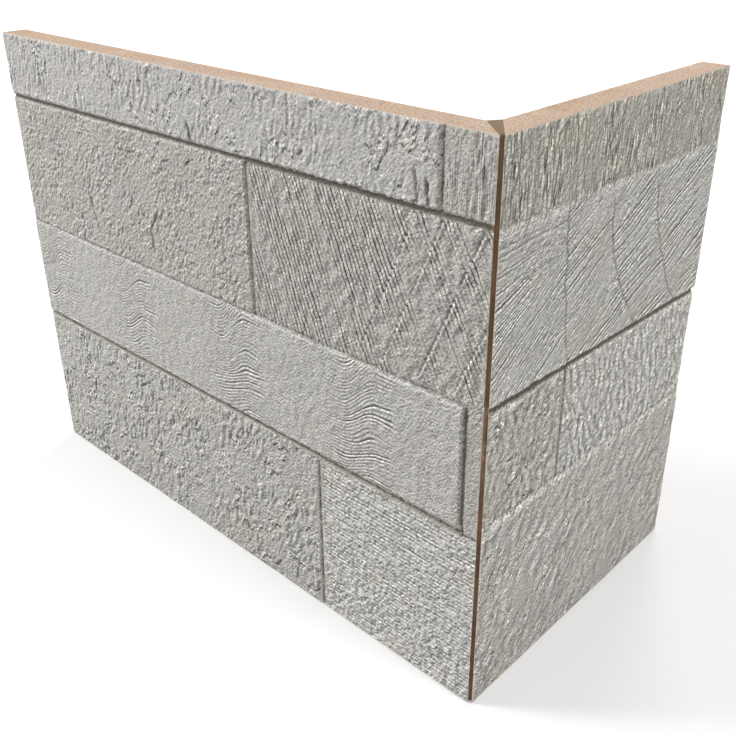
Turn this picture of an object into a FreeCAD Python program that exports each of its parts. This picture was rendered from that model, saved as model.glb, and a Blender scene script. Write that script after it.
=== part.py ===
import FreeCAD, Part
import math
import os
import random
from collections import namedtuple
from FreeCAD import Vector

# Corner piece of stone-look wall cladding.
# Two fired tile leaves, each pressed with four courses of stone blocks, are mitred and bonded
# by a strip of dark resin. Blocks stand at different heights over the floor of their joints and
# carry the marks of different tools.
# Millimetres, +Z up. The origin is under the middle of the overall box. The long leaf faces -Y,
# the short leaf faces +X, and their outer faces would meet at the right front.
# A place on a leaf is given by its distance along from that outer corner, its height up from the
# foot and its depth behind the outermost face.

# Overall sizes
long_length = 393.0
short_length = 200.0
height = 300.0
body_thickness = 14.2
relief_height = 2.4

# Courses of blocks from the foot up, at the corner end of the long leaf. The top one takes the rest
bottom_course = 107.2
third_course = 69.8
second_course = 85.6

# Fall of each bed joint from the corner to the free end, and how much higher the short leaf starts
long_low_fall = 2.2
long_middle_fall = 1.0
long_high_fall = 1.9
short_low_fall = 6.3
short_middle_fall = 3.4
short_low_step = 6.6
short_middle_step = 0.4

# Upright joints between blocks, as distances from the outer corner
long_top_head = 29.5
long_second_head = 157.3
long_third_head = 12.0
long_bottom_head = 110.5
short_third_head = 65.4

# Widths of the joints at their floor
bed_joint = 1.0
wide_bed_joint = 2.0
head_joint = 0.9

# Depth of each block's face behind the outermost face
long_split_depth = 0.45
long_scratched_depth = 1.10
long_hammered_depth = 0.95
long_raked_depth = 1.50
long_rippled_depth = 0.35
long_infill_depth = 1.45
long_weathered_depth = 0.85
long_picked_depth = 0.90
short_scratched_depth = 0.80
short_sawn_depth = 0.55
short_hammered_depth = 1.15
short_split_depth = 1.25
short_weathered_depth = 0.45

# Draft of the block walls, so that the tile leaves its press, and depth of each block's root
wall_draft = 38.0
root_depth = 1.0
lap_under = 1.6
trim_over = 4.0

# Mitres, as angles from the leaf's thickness, and the chipped arris of each mitre tip
long_mitre_angle = 49.5
short_mitre_angle = 52.0
long_mitre_setback = 1.1
short_mitre_setback = 1.4
mitre_arris = 0.7

# Resin filler, set back from the outermost face
filler_recess = 1.9

# Keying grooves across the back, which stop short of the mitre
key_pitch = 25.0
key_width = 9.0
key_depth = 0.9
key_flank = 1.2
key_stop = 14.0

# Rough faces: half height of the flakes and swells, and how close a swelling face is sampled
split_swell = 0.55
split_scatter = 0.3
split_seed = 5
flake_along = 8.0
flake_up = 12.0
hammered_swell = 0.2
hammered_across = 60.0
hammered_upright = 52.0
hammered_lean = 30.0
weathered_swell = 0.5
long_weathered_across = 52.0
long_weathered_upright = 96.0
long_weathered_lean = -40.0
short_weathered_across = 86.0
short_weathered_upright = 74.0
short_weathered_lean = 25.0
swell_sample = 10.0

# Tool marks. Saw rings are given from the corner outward, by where they start along the top and how
# far they run off by the foot of their block. Between them strokes rise by the angles given
scratch_pitch = 3.4
scratch_width = 1.1
scratch_depth = 0.35
rake_pitch = 6.4
rake_width = 1.3
rake_depth = 0.45
rake_lean = 25.0
rake_spread = 10.0
cross_pitch = 17.0
cross_lean = -24.0
cross_reach = 52.0
ripple_pitch = 6.6
ripple_width = 2.0
ripple_depth = 0.5
ripple_length = 46.0
ripple_rise = 14.0
ripple_bends = 5
ripple_patches = (79.0, 178.0, 279.0, 375.0)
pick_row_pitch = 2.9
pick_row_width = 0.9
pick_row_depth = 0.3
pick_pitch = 11.5
pick_length = 7.5
pick_width = 2.2
pick_depth = 0.8
saw_ring_starts = (54.5, 92.5, 136.0)
saw_ring_runs = (10.0, 34.0, 33.0)
saw_ring_width = 2.2
saw_ring_depth = 0.7
saw_ring_steps = 6
saw_stroke_pitch = 7.0
saw_stroke_width = 1.1
saw_stroke_depth = 0.35
saw_low_rises = (34.0, 27.0, 16.0, 20.0)
saw_high_rises = (5.0, 27.0, 30.0, 30.0)

thickness = body_thickness + relief_height
outer_corner = Vector(long_length / 2, -short_length / 2, 0)
golden = (math.sqrt(5) - 1) / 2

# A bed joint or an edge, by its height at the corner and at the free end
Bed = namedtuple("Bed", "at_corner at_end")
# A leaf: direction away from the corner, direction into the body, length, bed joints from the foot up
Leaf = namedtuple("Leaf", "along inward length beds mitre_angle setback")
# A block's outline at the joint floor, and the depth of its face
Block = namedtuple("Block", "near far low high depth")

foot = Bed(0.0, 0.0)
head = Bed(height, height)
low_bed = bottom_course
middle_bed = low_bed + third_course
high_bed = middle_bed + second_course

long_leaf = Leaf(
    Vector(-1, 0, 0),
    Vector(0, 1, 0),
    long_length,
    (
        Bed(low_bed, low_bed - long_low_fall),
        Bed(middle_bed, middle_bed - long_middle_fall),
        Bed(high_bed, high_bed - long_high_fall),
    ),
    long_mitre_angle,
    long_mitre_setback,
)
short_leaf = Leaf(
    Vector(0, 1, 0),
    Vector(-1, 0, 0),
    short_length,
    (
        Bed(low_bed + short_low_step, low_bed + short_low_step - short_low_fall),
        Bed(middle_bed + short_middle_step, middle_bed + short_middle_step - short_middle_fall),
        Bed(high_bed, high_bed),
    ),
    short_mitre_angle,
    short_mitre_setback,
)


def spot(leaf, along, up, depth):
    """Return the point at a distance along, a height up and a depth behind the face of a leaf."""
    return outer_corner + leaf.along * along + leaf.inward * depth + Vector(0, 0, up)


def bed_height(leaf, bed, along):
    """Return the height of a bed joint at a distance along the leaf."""
    return bed.at_corner + (bed.at_end - bed.at_corner) * along / leaf.length


def raised(bed, rise):
    """Return a bed joint moved up by a rise."""
    return Bed(bed.at_corner + rise, bed.at_end + rise)


def polygon(points):
    """Return the flat face inside a closed run of points."""
    return Part.Face(Part.makePolygon(points + points[:1]))


def prism(leaf, outline, low, high):
    """Return the upright prism over a plan outline given as pairs of along and depth."""
    base = polygon([spot(leaf, along, low, depth) for along, depth in outline])
    return base.extrude(Vector(0, 0, high - low))


def solid_between(lower, upper):
    """Return the flat-sided solid between two outlines that have as many corners and parallel sides."""
    count = len(lower)
    sides = [
        polygon([lower[i], lower[(i + 1) % count], upper[(i + 1) % count], upper[i]])
        for i in range(count)
    ]
    return Part.Solid(Part.Shell([polygon(lower), polygon(upper)] + sides))


def block_outline(leaf, block, inset, depth):
    """Return the four corners of a block's outline drawn in by an inset, at a depth."""
    low = raised(block.low, inset)
    high = raised(block.high, -inset)
    near = block.near + inset
    far = block.far - inset
    return [
        spot(leaf, near, bed_height(leaf, low, near), depth),
        spot(leaf, far, bed_height(leaf, low, far), depth),
        spot(leaf, far, bed_height(leaf, high, far), depth),
        spot(leaf, near, bed_height(leaf, high, near), depth),
    ]


def raw_block(leaf, block, face_depth):
    """Return a block with drafted walls, from its root in the body up to a flat face."""
    slope = math.tan(math.radians(wall_draft))
    root = relief_height + root_depth
    return solid_between(
        block_outline(leaf, block, -root_depth * slope, root),
        block_outline(leaf, block, (relief_height - face_depth) * slope, face_depth),
    )


def swell(along, up, across, upright, lean):
    """Return a smooth uneven wave between about -1 and 1, drawn out along a leaning direction."""
    turn = math.radians(lean)
    over = (along * math.cos(turn) + up * math.sin(turn)) / across
    rise = (up * math.cos(turn) - along * math.sin(turn)) / upright
    first = math.sin(math.tau * (over + math.sin(math.tau * rise) / 4))
    second = math.sin(math.tau * (rise + math.sin(math.tau * over * golden) / 3))
    return (first + second) / 2 + math.sin(math.tau * (over + rise) * golden) / 4


def rough_block(leaf, block, height_of_swell, across, upright, lean):
    """Return a block whose face swells and dips about its depth, clipped at the outermost face."""
    first_up = min(block.low) - swell_sample
    rows = math.ceil((max(block.high) + swell_sample - first_up) / swell_sample)
    first_along = block.near - swell_sample
    columns = math.ceil((block.far + swell_sample - first_along) / swell_sample)
    grid = []
    for column in range(columns + 1):
        along = first_along + column * swell_sample
        line = []
        for row in range(rows + 1):
            up = first_up + row * swell_sample
            depth = block.depth - height_of_swell * swell(along, up, across, upright, lean)
            line.append(spot(leaf, along, up, depth))
        grid.append(line)
    surface = Part.BSplineSurface()
    surface.interpolate(grid)
    above = surface.toShape().extrude(leaf.inward * -thickness)
    return raw_block(leaf, block, 0.0).cut(above)


def hammered_block(leaf, block):
    """Return a block dressed with a hammer, which leaves only a slight swell."""
    return rough_block(
        leaf, block, hammered_swell, hammered_across, hammered_upright, hammered_lean
    )


def lid_corner(leaf, point, lift):
    """Return the place over a point where the lid of a cutter lies, level with the outermost face."""
    depth = (point - outer_corner).dot(leaf.inward)
    return point - leaf.inward * depth + lift


def split_block(leaf, block):
    """Return a block whose face is broken into flat flakes, clipped at the outermost face."""
    chance = random.Random(split_seed)
    columns = math.ceil((block.far - block.near) / flake_along) + 2
    first_up = min(block.low) - flake_up
    rows = math.ceil((max(block.high) - first_up) / flake_up) + 1
    crests = []
    for column in range(columns + 1):
        line = []
        for row in range(rows + 1):
            free = split_scatter * (0 < column < columns and 0 < row < rows)
            along = block.near + flake_along * (column - 1 + free * chance.uniform(-1, 1))
            up = first_up + flake_up * (row + free * chance.uniform(-1, 1))
            line.append(spot(leaf, along, up, block.depth - split_swell * chance.uniform(-1, 1)))
        crests.append(line)
    faces = []
    for column in range(columns):
        for row in range(rows):
            a, b = crests[column][row : row + 2]
            d, c = crests[column + 1][row : row + 2]
            faces.append(polygon([a, b, c]))
            faces.append(polygon([a, c, d]))
    lift = leaf.inward * -thickness
    borders = (
        crests[0],
        [line[-1] for line in crests],
        crests[-1][::-1],
        [line[0] for line in crests[::-1]],
    )
    corners = []
    for border in borders:
        corners.append(lid_corner(leaf, border[0], lift))
        faces.append(polygon(border + [lid_corner(leaf, border[-1], lift), corners[-1]]))
    faces.append(polygon(corners))
    above = Part.Solid(Part.Shell(faces))
    return raw_block(leaf, block, 0.0).cut(above)


def groove(leaf, start, end, face_depth, width, depth):
    """Return a straight V-shaped cutter between two places on a flat face, given as along and up."""
    run = Vector(end[0] - start[0], end[1] - start[1], 0).normalize()
    side = (-run.y * width, run.x * width)
    rise = depth

    def section(place):
        return polygon(
            [
                spot(leaf, place[0] + side[0], place[1] + side[1], face_depth - rise),
                spot(leaf, place[0], place[1], face_depth + depth),
                spot(leaf, place[0] - side[0], place[1] - side[1], face_depth - rise),
            ]
        )

    travel = spot(leaf, end[0], end[1], 0) - spot(leaf, start[0], start[1], 0)
    return section(start).extrude(travel)


def furrow(leaf, path, face_depth, width, depth):
    """Return a V-shaped cutter along a bent path, which runs out to nothing at both ends."""
    lid = face_depth - depth / 4
    last = len(path) - 1
    left = []
    keel = []
    right = []
    for index, (along, up) in enumerate(path):
        before = path[max(index - 1, 0)]
        after = path[min(index + 1, last)]
        run = Vector(after[0] - before[0], after[1] - before[1], 0).normalize()
        fullness = math.sin(math.pi * index / last)
        reach = fullness * width / 2
        left.append(spot(leaf, along - run.y * reach, up + run.x * reach, lid))
        keel.append(spot(leaf, along, up, lid + fullness * (depth + depth / 4)))
        right.append(spot(leaf, along + run.y * reach, up - run.x * reach, lid))
    faces = [polygon(left + right[-2:0:-1])]
    for flank in (left, right):
        faces.append(polygon([flank[0], flank[1], keel[1]]))
        faces.append(polygon([flank[-1], flank[-2], keel[-2]]))
        for index in range(1, last - 1):
            faces.append(polygon([flank[index], flank[index + 1], keel[index]]))
            faces.append(polygon([flank[index + 1], keel[index + 1], keel[index]]))
    return Part.Solid(Part.Shell(faces))


def cut_marks(block_solid, cutters):
    """Return a block with all its tool marks cut in one go."""
    return block_solid.cut(Part.makeCompound(cutters))


def scratched_block(leaf, block):
    """Return a flat block combed with upright scratches."""
    low = min(block.low)
    high = max(block.high)
    count = int((block.far - block.near) / scratch_pitch)
    cutters = []
    for index in range(count):
        along = block.near + (index + 0.5) * scratch_pitch
        wander = scratch_pitch * (index * golden % 1 - 0.5) / 2
        cutters.append(
            groove(leaf, (along, low), (along + wander, high), block.depth, scratch_width, scratch_depth)
        )
    return cut_marks(raw_block(leaf, block, block.depth), cutters)


def raked_block(leaf, block):
    """Return a flat block raked with a fan of leaning strokes and crossed by a second set."""
    low = min(block.low)
    high = max(block.high)
    cutters = []
    count = int((block.far - block.near) / rake_pitch)
    for index in range(count):
        share = index / count
        lean = math.tan(math.radians(rake_lean + rake_spread * (share - 0.5)))
        top = block.far - (index + 0.5) * rake_pitch
        end = (top - (high - low) * lean, low)
        cutters.append(groove(leaf, (top, high), end, block.depth, rake_width, rake_depth))
    for index in range(int(cross_reach / cross_pitch)):
        top = block.near + index * cross_pitch
        end = (top - (high - low) * math.tan(math.radians(cross_lean)), low)
        cutters.append(groove(leaf, (top, high), end, block.depth, rake_width, rake_depth))
    return cut_marks(raw_block(leaf, block, block.depth), cutters)


def rippled_block(leaf, block):
    """Return a flat block with patches of furrows that rise in an S towards the corner."""
    cutters = []
    low = max(block.low)
    high = min(block.high)
    count = int((high - low) / ripple_pitch) - 1
    for patch in ripple_patches:
        for index in range(count):
            up = low + (index + 1) * ripple_pitch
            sway = ripple_pitch * math.sin(index * math.tau * golden)
            path = []
            for step in range(ripple_bends + 1):
                share = step / ripple_bends
                along = patch + sway + ripple_length * (share - 0.5)
                path.append((along, up + ripple_rise / 2 * math.cos(math.pi * share)))
            cutters.append(furrow(leaf, path, block.depth, ripple_width, ripple_depth))
    return cut_marks(raw_block(leaf, block, block.depth), cutters)


def picked_block(leaf, block):
    """Return a flat block with level tooling lines, crossed by short leaning pick marks."""
    low = min(block.low)
    high = min(block.high)
    near = block.near - trim_over
    cutters = []
    for index in range(int((high - low) / pick_row_pitch)):
        up = low + (index + 0.5) * pick_row_pitch
        cutters.append(
            groove(leaf, (near, up), (block.far, up), block.depth, pick_row_width, pick_row_depth)
        )
    columns = int((block.far - block.near) / pick_pitch)
    rows = int((high - max(low, 0)) / pick_pitch)
    for column in range(columns):
        for row in range(rows):
            shift = (column * golden + row * golden * golden) % 1 - 0.5
            along = block.near + (column + 0.5 + shift / 2) * pick_pitch
            up = (row + 0.5 + shift) * pick_pitch
            half = pick_length * (1 - abs(shift)) / 2
            path = [(along + half / 2, up - half), (along, up), (along - half / 2, up + half)]
            cutters.append(furrow(leaf, path, block.depth, pick_width, pick_depth))
    return cut_marks(raw_block(leaf, block, block.depth), cutters)


def sawn_block(leaf, block):
    """Return a flat block scored with rings that bend away from the corner, and strokes between them."""
    low = min(block.low)
    high = max(block.high)
    cutters = []
    edges = [block.near - trim_over]
    for start, run in zip(saw_ring_starts, saw_ring_runs):
        path = []
        for step in range(saw_ring_steps + 1):
            share = step / saw_ring_steps
            path.append((start + run * share * share, high + (low - high) * share))
        cutters.append(furrow(leaf, path, block.depth, saw_ring_width, saw_ring_depth))
        edges.append(start)
    edges.append(leaf.length)
    strokes = int((high - low) / saw_stroke_pitch)
    for near, far, low_rise, high_rise in zip(edges, edges[1:], saw_low_rises, saw_high_rises):
        for stroke in range(strokes):
            lean = low_rise + (high_rise - low_rise) * stroke / strokes
            up = low + stroke * saw_stroke_pitch
            reach = (far - near) * (1 - (stroke * golden % 1) / 2)
            end = (near + reach, up + reach * math.tan(math.radians(lean)))
            cutters.append(
                groove(leaf, (near, up), end, block.depth, saw_stroke_width, saw_stroke_depth)
            )
    return cut_marks(raw_block(leaf, block, block.depth), cutters)


def plan_outline(leaf):
    """Return the plan of a mitred leaf, as pairs of along and depth, with its chipped mitre tip."""
    slope = math.tan(math.radians(leaf.mitre_angle))
    return [
        (leaf.setback + mitre_arris * (1 + slope), 0.0),
        (leaf.setback + mitre_arris * slope, mitre_arris),
        (leaf.setback + thickness * slope, thickness),
        (leaf.length, thickness),
        (leaf.length, 0.0),
    ]


def key_grooves(leaf):
    """Return the cutters for the level keying grooves across the back of a leaf."""
    slope = math.tan(math.radians(leaf.mitre_angle))
    start = leaf.setback + thickness * slope + key_stop
    count = int((height - key_width) / key_pitch)
    margin = (height - (count - 1) * key_pitch) / 2
    cutters = []
    for index in range(count):
        up = margin + index * key_pitch
        section = [
            spot(leaf, start, up - key_width / 2, thickness),
            spot(leaf, start, up - key_width / 2 + key_flank, thickness - key_depth),
            spot(leaf, start, up + key_width / 2 - key_flank, thickness - key_depth),
            spot(leaf, start, up + key_width / 2, thickness),
        ]
        cutters.append(polygon(section).extrude(leaf.along * leaf.length))
    return cutters


def assemble_leaf(leaf, blocks):
    """Return a leaf: body, fused blocks, mitre and keying grooves, trimmed to its outline."""
    slope = math.tan(math.radians(leaf.mitre_angle))
    outline = plan_outline(leaf)
    floor = [
        (leaf.setback + relief_height * slope, relief_height),
        (leaf.setback + thickness * slope, thickness),
        (leaf.length, thickness),
        (leaf.length, relief_height),
    ]
    body = prism(leaf, floor, 0.0, height).cut(Part.makeCompound(key_grooves(leaf)))
    trimmed = [block.common(prism(leaf, outline, 0.0, height)) for block in blocks]
    return body.fuse(trimmed).removeSplitter()


def make_long_leaf():
    """Return the long leaf with its eight blocks."""
    leaf = long_leaf
    low, middle, high = leaf.beds
    over_foot = raised(foot, -trim_over)
    over_head = raised(head, trim_over)
    past_end = leaf.length + trim_over
    corner = -trim_over
    half_head = head_joint / 2
    half_bed = bed_joint / 2
    split = Block(
        long_top_head + half_head, past_end, raised(high, half_bed), over_head, long_split_depth
    )
    scratched = Block(
        corner, long_top_head - half_head, raised(high, half_bed), over_head, long_scratched_depth
    )
    hammered = Block(
        long_second_head + half_head,
        past_end,
        raised(middle, -lap_under),
        raised(high, -half_bed),
        long_hammered_depth,
    )
    raked = Block(
        corner,
        long_second_head - half_head,
        raised(middle, -lap_under),
        raised(high, half_bed - wide_bed_joint),
        long_raked_depth,
    )
    rippled = Block(
        long_third_head + half_head, past_end, raised(low, half_bed), middle, long_rippled_depth
    )
    infill = Block(
        corner,
        long_third_head - half_head,
        raised(low, -lap_under),
        raised(middle, lap_under),
        long_infill_depth,
    )
    weathered = Block(
        long_bottom_head + half_head,
        past_end,
        over_foot,
        raised(low, -half_bed),
        long_weathered_depth,
    )
    picked = Block(
        corner,
        long_bottom_head - half_head,
        over_foot,
        raised(low, half_bed - wide_bed_joint),
        long_picked_depth,
    )
    return assemble_leaf(
        leaf,
        [
            split_block(leaf, split),
            scratched_block(leaf, scratched),
            hammered_block(leaf, hammered),
            raked_block(leaf, raked),
            rippled_block(leaf, rippled),
            raw_block(leaf, infill, infill.depth),
            rough_block(
                leaf,
                weathered,
                weathered_swell,
                long_weathered_across,
                long_weathered_upright,
                long_weathered_lean,
            ),
            picked_block(leaf, picked),
        ],
    )


def make_short_leaf():
    """Return the short leaf with its five blocks."""
    leaf = short_leaf
    low, middle, high = leaf.beds
    over_foot = raised(foot, -trim_over)
    over_head = raised(head, trim_over)
    past_end = leaf.length + trim_over
    corner = -trim_over
    half_head = head_joint / 2
    half_bed = bed_joint / 2
    scratched = Block(corner, past_end, raised(high, -lap_under), over_head, short_scratched_depth)
    sawn = Block(corner, past_end, raised(middle, half_bed), high, short_sawn_depth)
    hammered = Block(
        corner,
        short_third_head - half_head,
        raised(low, -lap_under),
        raised(middle, half_bed - wide_bed_joint),
        short_hammered_depth,
    )
    split = Block(
        short_third_head + half_head,
        past_end,
        raised(low, -lap_under),
        raised(middle, half_bed - wide_bed_joint),
        short_split_depth,
    )
    weathered = Block(corner, past_end, over_foot, low, short_weathered_depth)
    return assemble_leaf(
        leaf,
        [
            scratched_block(leaf, scratched),
            sawn_block(leaf, sawn),
            hammered_block(leaf, hammered),
            split_block(leaf, split),
            rough_block(
                leaf,
                weathered,
                weathered_swell,
                short_weathered_across,
                short_weathered_upright,
                short_weathered_lean,
            ),
        ],
    )


def make_filler():
    """Return the resin strip that fills the wedge between the two mitres."""
    long_slope = math.tan(math.radians(long_mitre_angle))
    short_slope = math.tan(math.radians(short_mitre_angle))
    front = filler_recess
    back = thickness
    outline = [
        spot(long_leaf, long_mitre_setback + front * long_slope, 0, front),
        spot(long_leaf, long_mitre_setback + back * long_slope, 0, back),
        spot(short_leaf, short_mitre_setback + back * short_slope, 0, back),
        spot(short_leaf, short_mitre_setback + front * short_slope, 0, front),
    ]
    return polygon(outline).extrude(Vector(0, 0, height))


os.makedirs("parts", exist_ok=True)
for node, make in (
    ("long_leaf", make_long_leaf),
    ("short_leaf", make_short_leaf),
    ("mitre_filler", make_filler),
):
    shape = make()
    shape.exportStep(os.path.join("parts", node + ".step"))
    print(node, "valid", shape.isValid(), "solids", len(shape.Solids), "cm3", round(shape.Volume / 1000, 1))
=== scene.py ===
"""Looks of the mitred stone-look corner piece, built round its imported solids. Metres, +Z up.

A place on a leaf is given in millimetres: its distance along from the outer corner, its height up
from the foot and its depth behind the outermost face. Heights of relief point out of the face.
"""

import logging
import math
from dataclasses import dataclass
from enum import Enum
from itertools import accumulate, product

import bpy
import numpy as np
from mathutils import Matrix, Vector


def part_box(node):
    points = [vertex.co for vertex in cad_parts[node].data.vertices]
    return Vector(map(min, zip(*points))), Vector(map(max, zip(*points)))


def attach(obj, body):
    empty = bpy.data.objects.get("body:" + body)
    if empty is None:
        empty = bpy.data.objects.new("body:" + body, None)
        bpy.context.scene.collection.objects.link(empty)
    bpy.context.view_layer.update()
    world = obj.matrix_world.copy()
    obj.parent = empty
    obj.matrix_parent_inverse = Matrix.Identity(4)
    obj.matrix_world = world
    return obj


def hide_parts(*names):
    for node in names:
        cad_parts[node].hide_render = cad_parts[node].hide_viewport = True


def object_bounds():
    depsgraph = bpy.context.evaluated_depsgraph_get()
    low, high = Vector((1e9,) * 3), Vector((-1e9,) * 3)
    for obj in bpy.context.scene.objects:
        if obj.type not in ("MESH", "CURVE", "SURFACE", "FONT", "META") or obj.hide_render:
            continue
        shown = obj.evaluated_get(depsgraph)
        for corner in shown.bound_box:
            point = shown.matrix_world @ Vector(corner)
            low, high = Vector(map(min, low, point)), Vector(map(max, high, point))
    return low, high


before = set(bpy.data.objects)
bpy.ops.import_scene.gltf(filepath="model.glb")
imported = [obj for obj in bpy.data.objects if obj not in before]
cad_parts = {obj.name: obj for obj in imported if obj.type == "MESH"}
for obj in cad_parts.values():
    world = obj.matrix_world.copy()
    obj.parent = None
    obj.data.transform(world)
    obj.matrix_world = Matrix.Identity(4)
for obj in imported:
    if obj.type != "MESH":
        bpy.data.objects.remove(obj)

CAD_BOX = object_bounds()
CORNER = (CAD_BOX[1].x, CAD_BOX[0].y, CAD_BOX[0].z)

Array = np.ndarray
Socket = bpy.types.NodeSocket
Triple = tuple[float, float, float]

MM = 0.001
GRAIN_LEAN = 26.0
WHITE = (1.0, 1.0, 1.0)

# Large odd numbers that scramble a grid place into an even spread of values
MIX_X, MIX_Y, MIX_SEED, MIX_LAST = 374761393, 668265263, 362437, 1274126177
WORD = 0xFFFFFFFF
SHARES = 0xFFFFFF

log = logging.getLogger("corner_piece")


# Patterns worked out as whole arrays


def hashed(x: Array, y: Array, seed: int) -> Array:
    """Scramble whole-number grid places into values from 0 to 1.

    The place and the seed are each multiplied by a large odd number and added, and the bits of
    the sum are folded down twice.

    Args:
        x: Whole-number column of each place.
        y: Whole-number row of each place.
        seed: Which of many scrambles is used.

    Returns:
        One value from 0 to 1 for each place.
    """
    word = (x * MIX_X + y * MIX_Y + seed * MIX_SEED) & WORD
    word = ((word ^ (word >> 13)) * MIX_LAST) & WORD
    return ((word ^ (word >> 16)) & SHARES) / SHARES


def drawn(mark: Array, other: Array, seed: int) -> Array:
    """Return a random value from 0 to 1 for each mark, told apart by two whole numbers."""
    return hashed(mark.astype(np.int64), other.astype(np.int64), seed)


def eased(share: Array) -> Array:
    """Return a share from 0 to 1 with its start and end smoothed: 3 share squared less 2 share cubed."""
    share = np.clip(share, 0.0, 1.0)
    return share * share * (3.0 - 2.0 * share)


def between(value: Array, low: float, high: float) -> Array:
    """Return how far a value has gone from low to high, eased, as a share from 0 to 1."""
    return eased((value - low) / (high - low))


def noise(x: Array, y: Array, seed: int) -> Array:
    """Return smooth random waves one unit long.

    Each grid corner carries a slope that leans a random way. A place takes the height of each
    corner's slope there, weighted by how near the corner is.

    Args:
        x: Places across, in wave lengths.
        y: Places up, in wave lengths.
        seed: Which of many patterns is used.

    Returns:
        Heights from about -1 to 1.
    """
    column = np.floor(x)
    row = np.floor(y)
    total = np.zeros_like(x)
    for step_x, step_y in product((0, 1), repeat=2):
        away_x = x - column - step_x
        away_y = y - row - step_y
        turn = math.tau * drawn(column + step_x, row + step_y, seed)
        slope = np.cos(turn) * away_x + np.sin(turn) * away_y
        total += slope * eased(1.0 - np.abs(away_x)) * eased(1.0 - np.abs(away_y))
    return total * 1.5


def leaned(along: Array, up: Array, lean: float) -> tuple[Array, Array]:
    """Turn a place by a lean in degrees.

    Args:
        along: Places along the leaf.
        up: Places up the leaf.
        lean: Degrees from upright; a positive lean tips the upper end away from the corner.

    Returns:
        The place across the lean and the place along it.
    """
    turn = math.radians(lean)
    across = along * math.cos(turn) - up * math.sin(turn)
    length = along * math.sin(turn) + up * math.cos(turn)
    return across, length


def cells(x: Array, y: Array, seed: int) -> tuple[Array, Array]:
    """Share places out among cells one unit apart, whose centres are scattered about a grid.

    Every grid square has one centre at a random place in it. The nine squares round a place are
    searched for the nearest centre.

    Args:
        x: Places across, in cell widths.
        y: Places up, in cell heights.
        seed: Which of many scatters is used.

    Returns:
        The distance to the nearest centre, and a random value from 0 to 1 of its cell.
    """
    column = np.floor(x).astype(np.int64)
    row = np.floor(y).astype(np.int64)
    nearest = np.full(x.shape, np.inf)
    owner = np.zeros(x.shape)
    for step_x, step_y in product((-1, 0, 1), repeat=2):
        place = (column + step_x, row + step_y)
        off_x = x - place[0] - hashed(*place, seed)
        off_y = y - place[1] - hashed(*place, seed + 1)
        away = np.hypot(off_x, off_y)
        owner = np.where(away < nearest, hashed(*place, seed + 2), owner)
        nearest = np.minimum(nearest, away)
    return nearest, owner


def ridge(away: Array, half: float) -> Array:
    """Return 1 on a line, falling evenly to 0 half its width away."""
    return np.clip(1.0 - np.abs(away) / half, 0.0, 1.0)


def notches(phase: Array, width: float) -> Array:
    """Return V-shaped notches one unit apart, 1 at their keels and 0 beyond half their width."""
    return ridge(phase - np.round(phase), width / 2.0)


def softened(grid: Array, reach: int) -> Array:
    """Average a grid twice over a square, by differences of running sums.

    Args:
        grid: The values by row and column.
        reach: How many cells the square reaches each way.

    Returns:
        The averaged grid, of the same shape.
    """
    width = 2 * reach + 1
    for _ in range(2):
        for axis in (0, 1):
            ends = [(0, 0), (0, 0)]
            ends[axis] = (reach + 1, reach)
            total = np.cumsum(np.pad(grid, ends, mode="edge"), axis=axis)
            count = grid.shape[axis]
            upper = np.take(total, np.arange(width, width + count), axis=axis)
            lower = np.take(total, np.arange(count), axis=axis)
            grid = (upper - lower) / width
    return grid


# How each stone is dressed


@dataclass(frozen=True)
class Waves:
    """Smooth random waves: their width and height, which pattern they have, and their strength."""

    width: float
    height: float
    pattern: int
    strength: float = 1.0

    def over(self, x: Array, y: Array, seed: int) -> Array:
        """Return the waves at places: the strength times noise over the places in wave lengths."""
        return self.strength * noise(x / self.width, y / self.height, seed + self.pattern)


@dataclass(frozen=True)
class Patches:
    """Where something shows: waves taken as shares, from their height of none to that of all of it."""

    width: float
    height: float
    pattern: int
    none: float
    full: float
    least: float = 0.0

    def over(self, x: Array, y: Array, seed: int) -> Array:
        """Return the share at places: the least one, and the rest times how far the waves rise."""
        waves = noise(x / self.width, y / self.height, seed + self.pattern)
        return self.least + (1.0 - self.least) * between(waves, self.none, self.full)


@dataclass(frozen=True)
class Crack:
    """A crack between two places, with its width and depth in millimetres."""

    start: tuple[float, float]
    end: tuple[float, float]
    width: float
    depth: float
    wander: Waves = Waves(3.0, 1.0, 17, 0.7)
    kinks: Waves = Waves(1.0, 1.0, 18, 0.25)

    def relief(self, along: Array, up: Array) -> Array:
        """Work out the crack's relief: a V along its run, whose line wanders, tapering at both ends.

        Args:
            along: Places along the leaf.
            up: Places up the leaf.

        Returns:
            The relief at each place, 0 or less.
        """
        run = np.subtract(self.end, self.start)
        length = float(np.hypot(*run))
        run = run / length
        reach = (along - self.start[0]) * run[0] + (up - self.start[1]) * run[1]
        side = (up - self.start[1]) * run[0] - (along - self.start[0]) * run[1]
        level = np.zeros_like(side)
        side = side + self.wander.over(reach, level, 0) + self.kinks.over(reach, level, 0)
        taper = between(reach, -0.5, 0.25 * length) * between(-reach, -length - 0.5, -0.75 * length)
        return -self.depth * taper * ridge(side, self.width / 2.0)


@dataclass(frozen=True)
class Grain:
    """The fine grain of a face: its width, stretch, lean in degrees and strength in millimetres."""

    size: float = 1.15
    stretch: float = 1.6
    lean: float = -28.0
    strength: float = 0.16
    finer: Waves = Waves(1.0, 1.0, 1, 0.45)
    finer_scale: float = 1.8

    def relief(self, along: Array, up: Array, seed: int) -> Array:
        """Work out leaning grains, with grains of about half their size on top.

        Args:
            along: Places along the leaf.
            up: Places up the leaf.
            seed: Which of many patterns is used.

        Returns:
            The relief at each place.
        """
        across, length = leaned(along, up, self.lean)
        x, y = across / self.size, length / (self.size * self.stretch)
        finer = self.finer.over(x * self.finer_scale, y * self.finer_scale, seed)
        return self.strength * (noise(x, y, seed) + finer)


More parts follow.
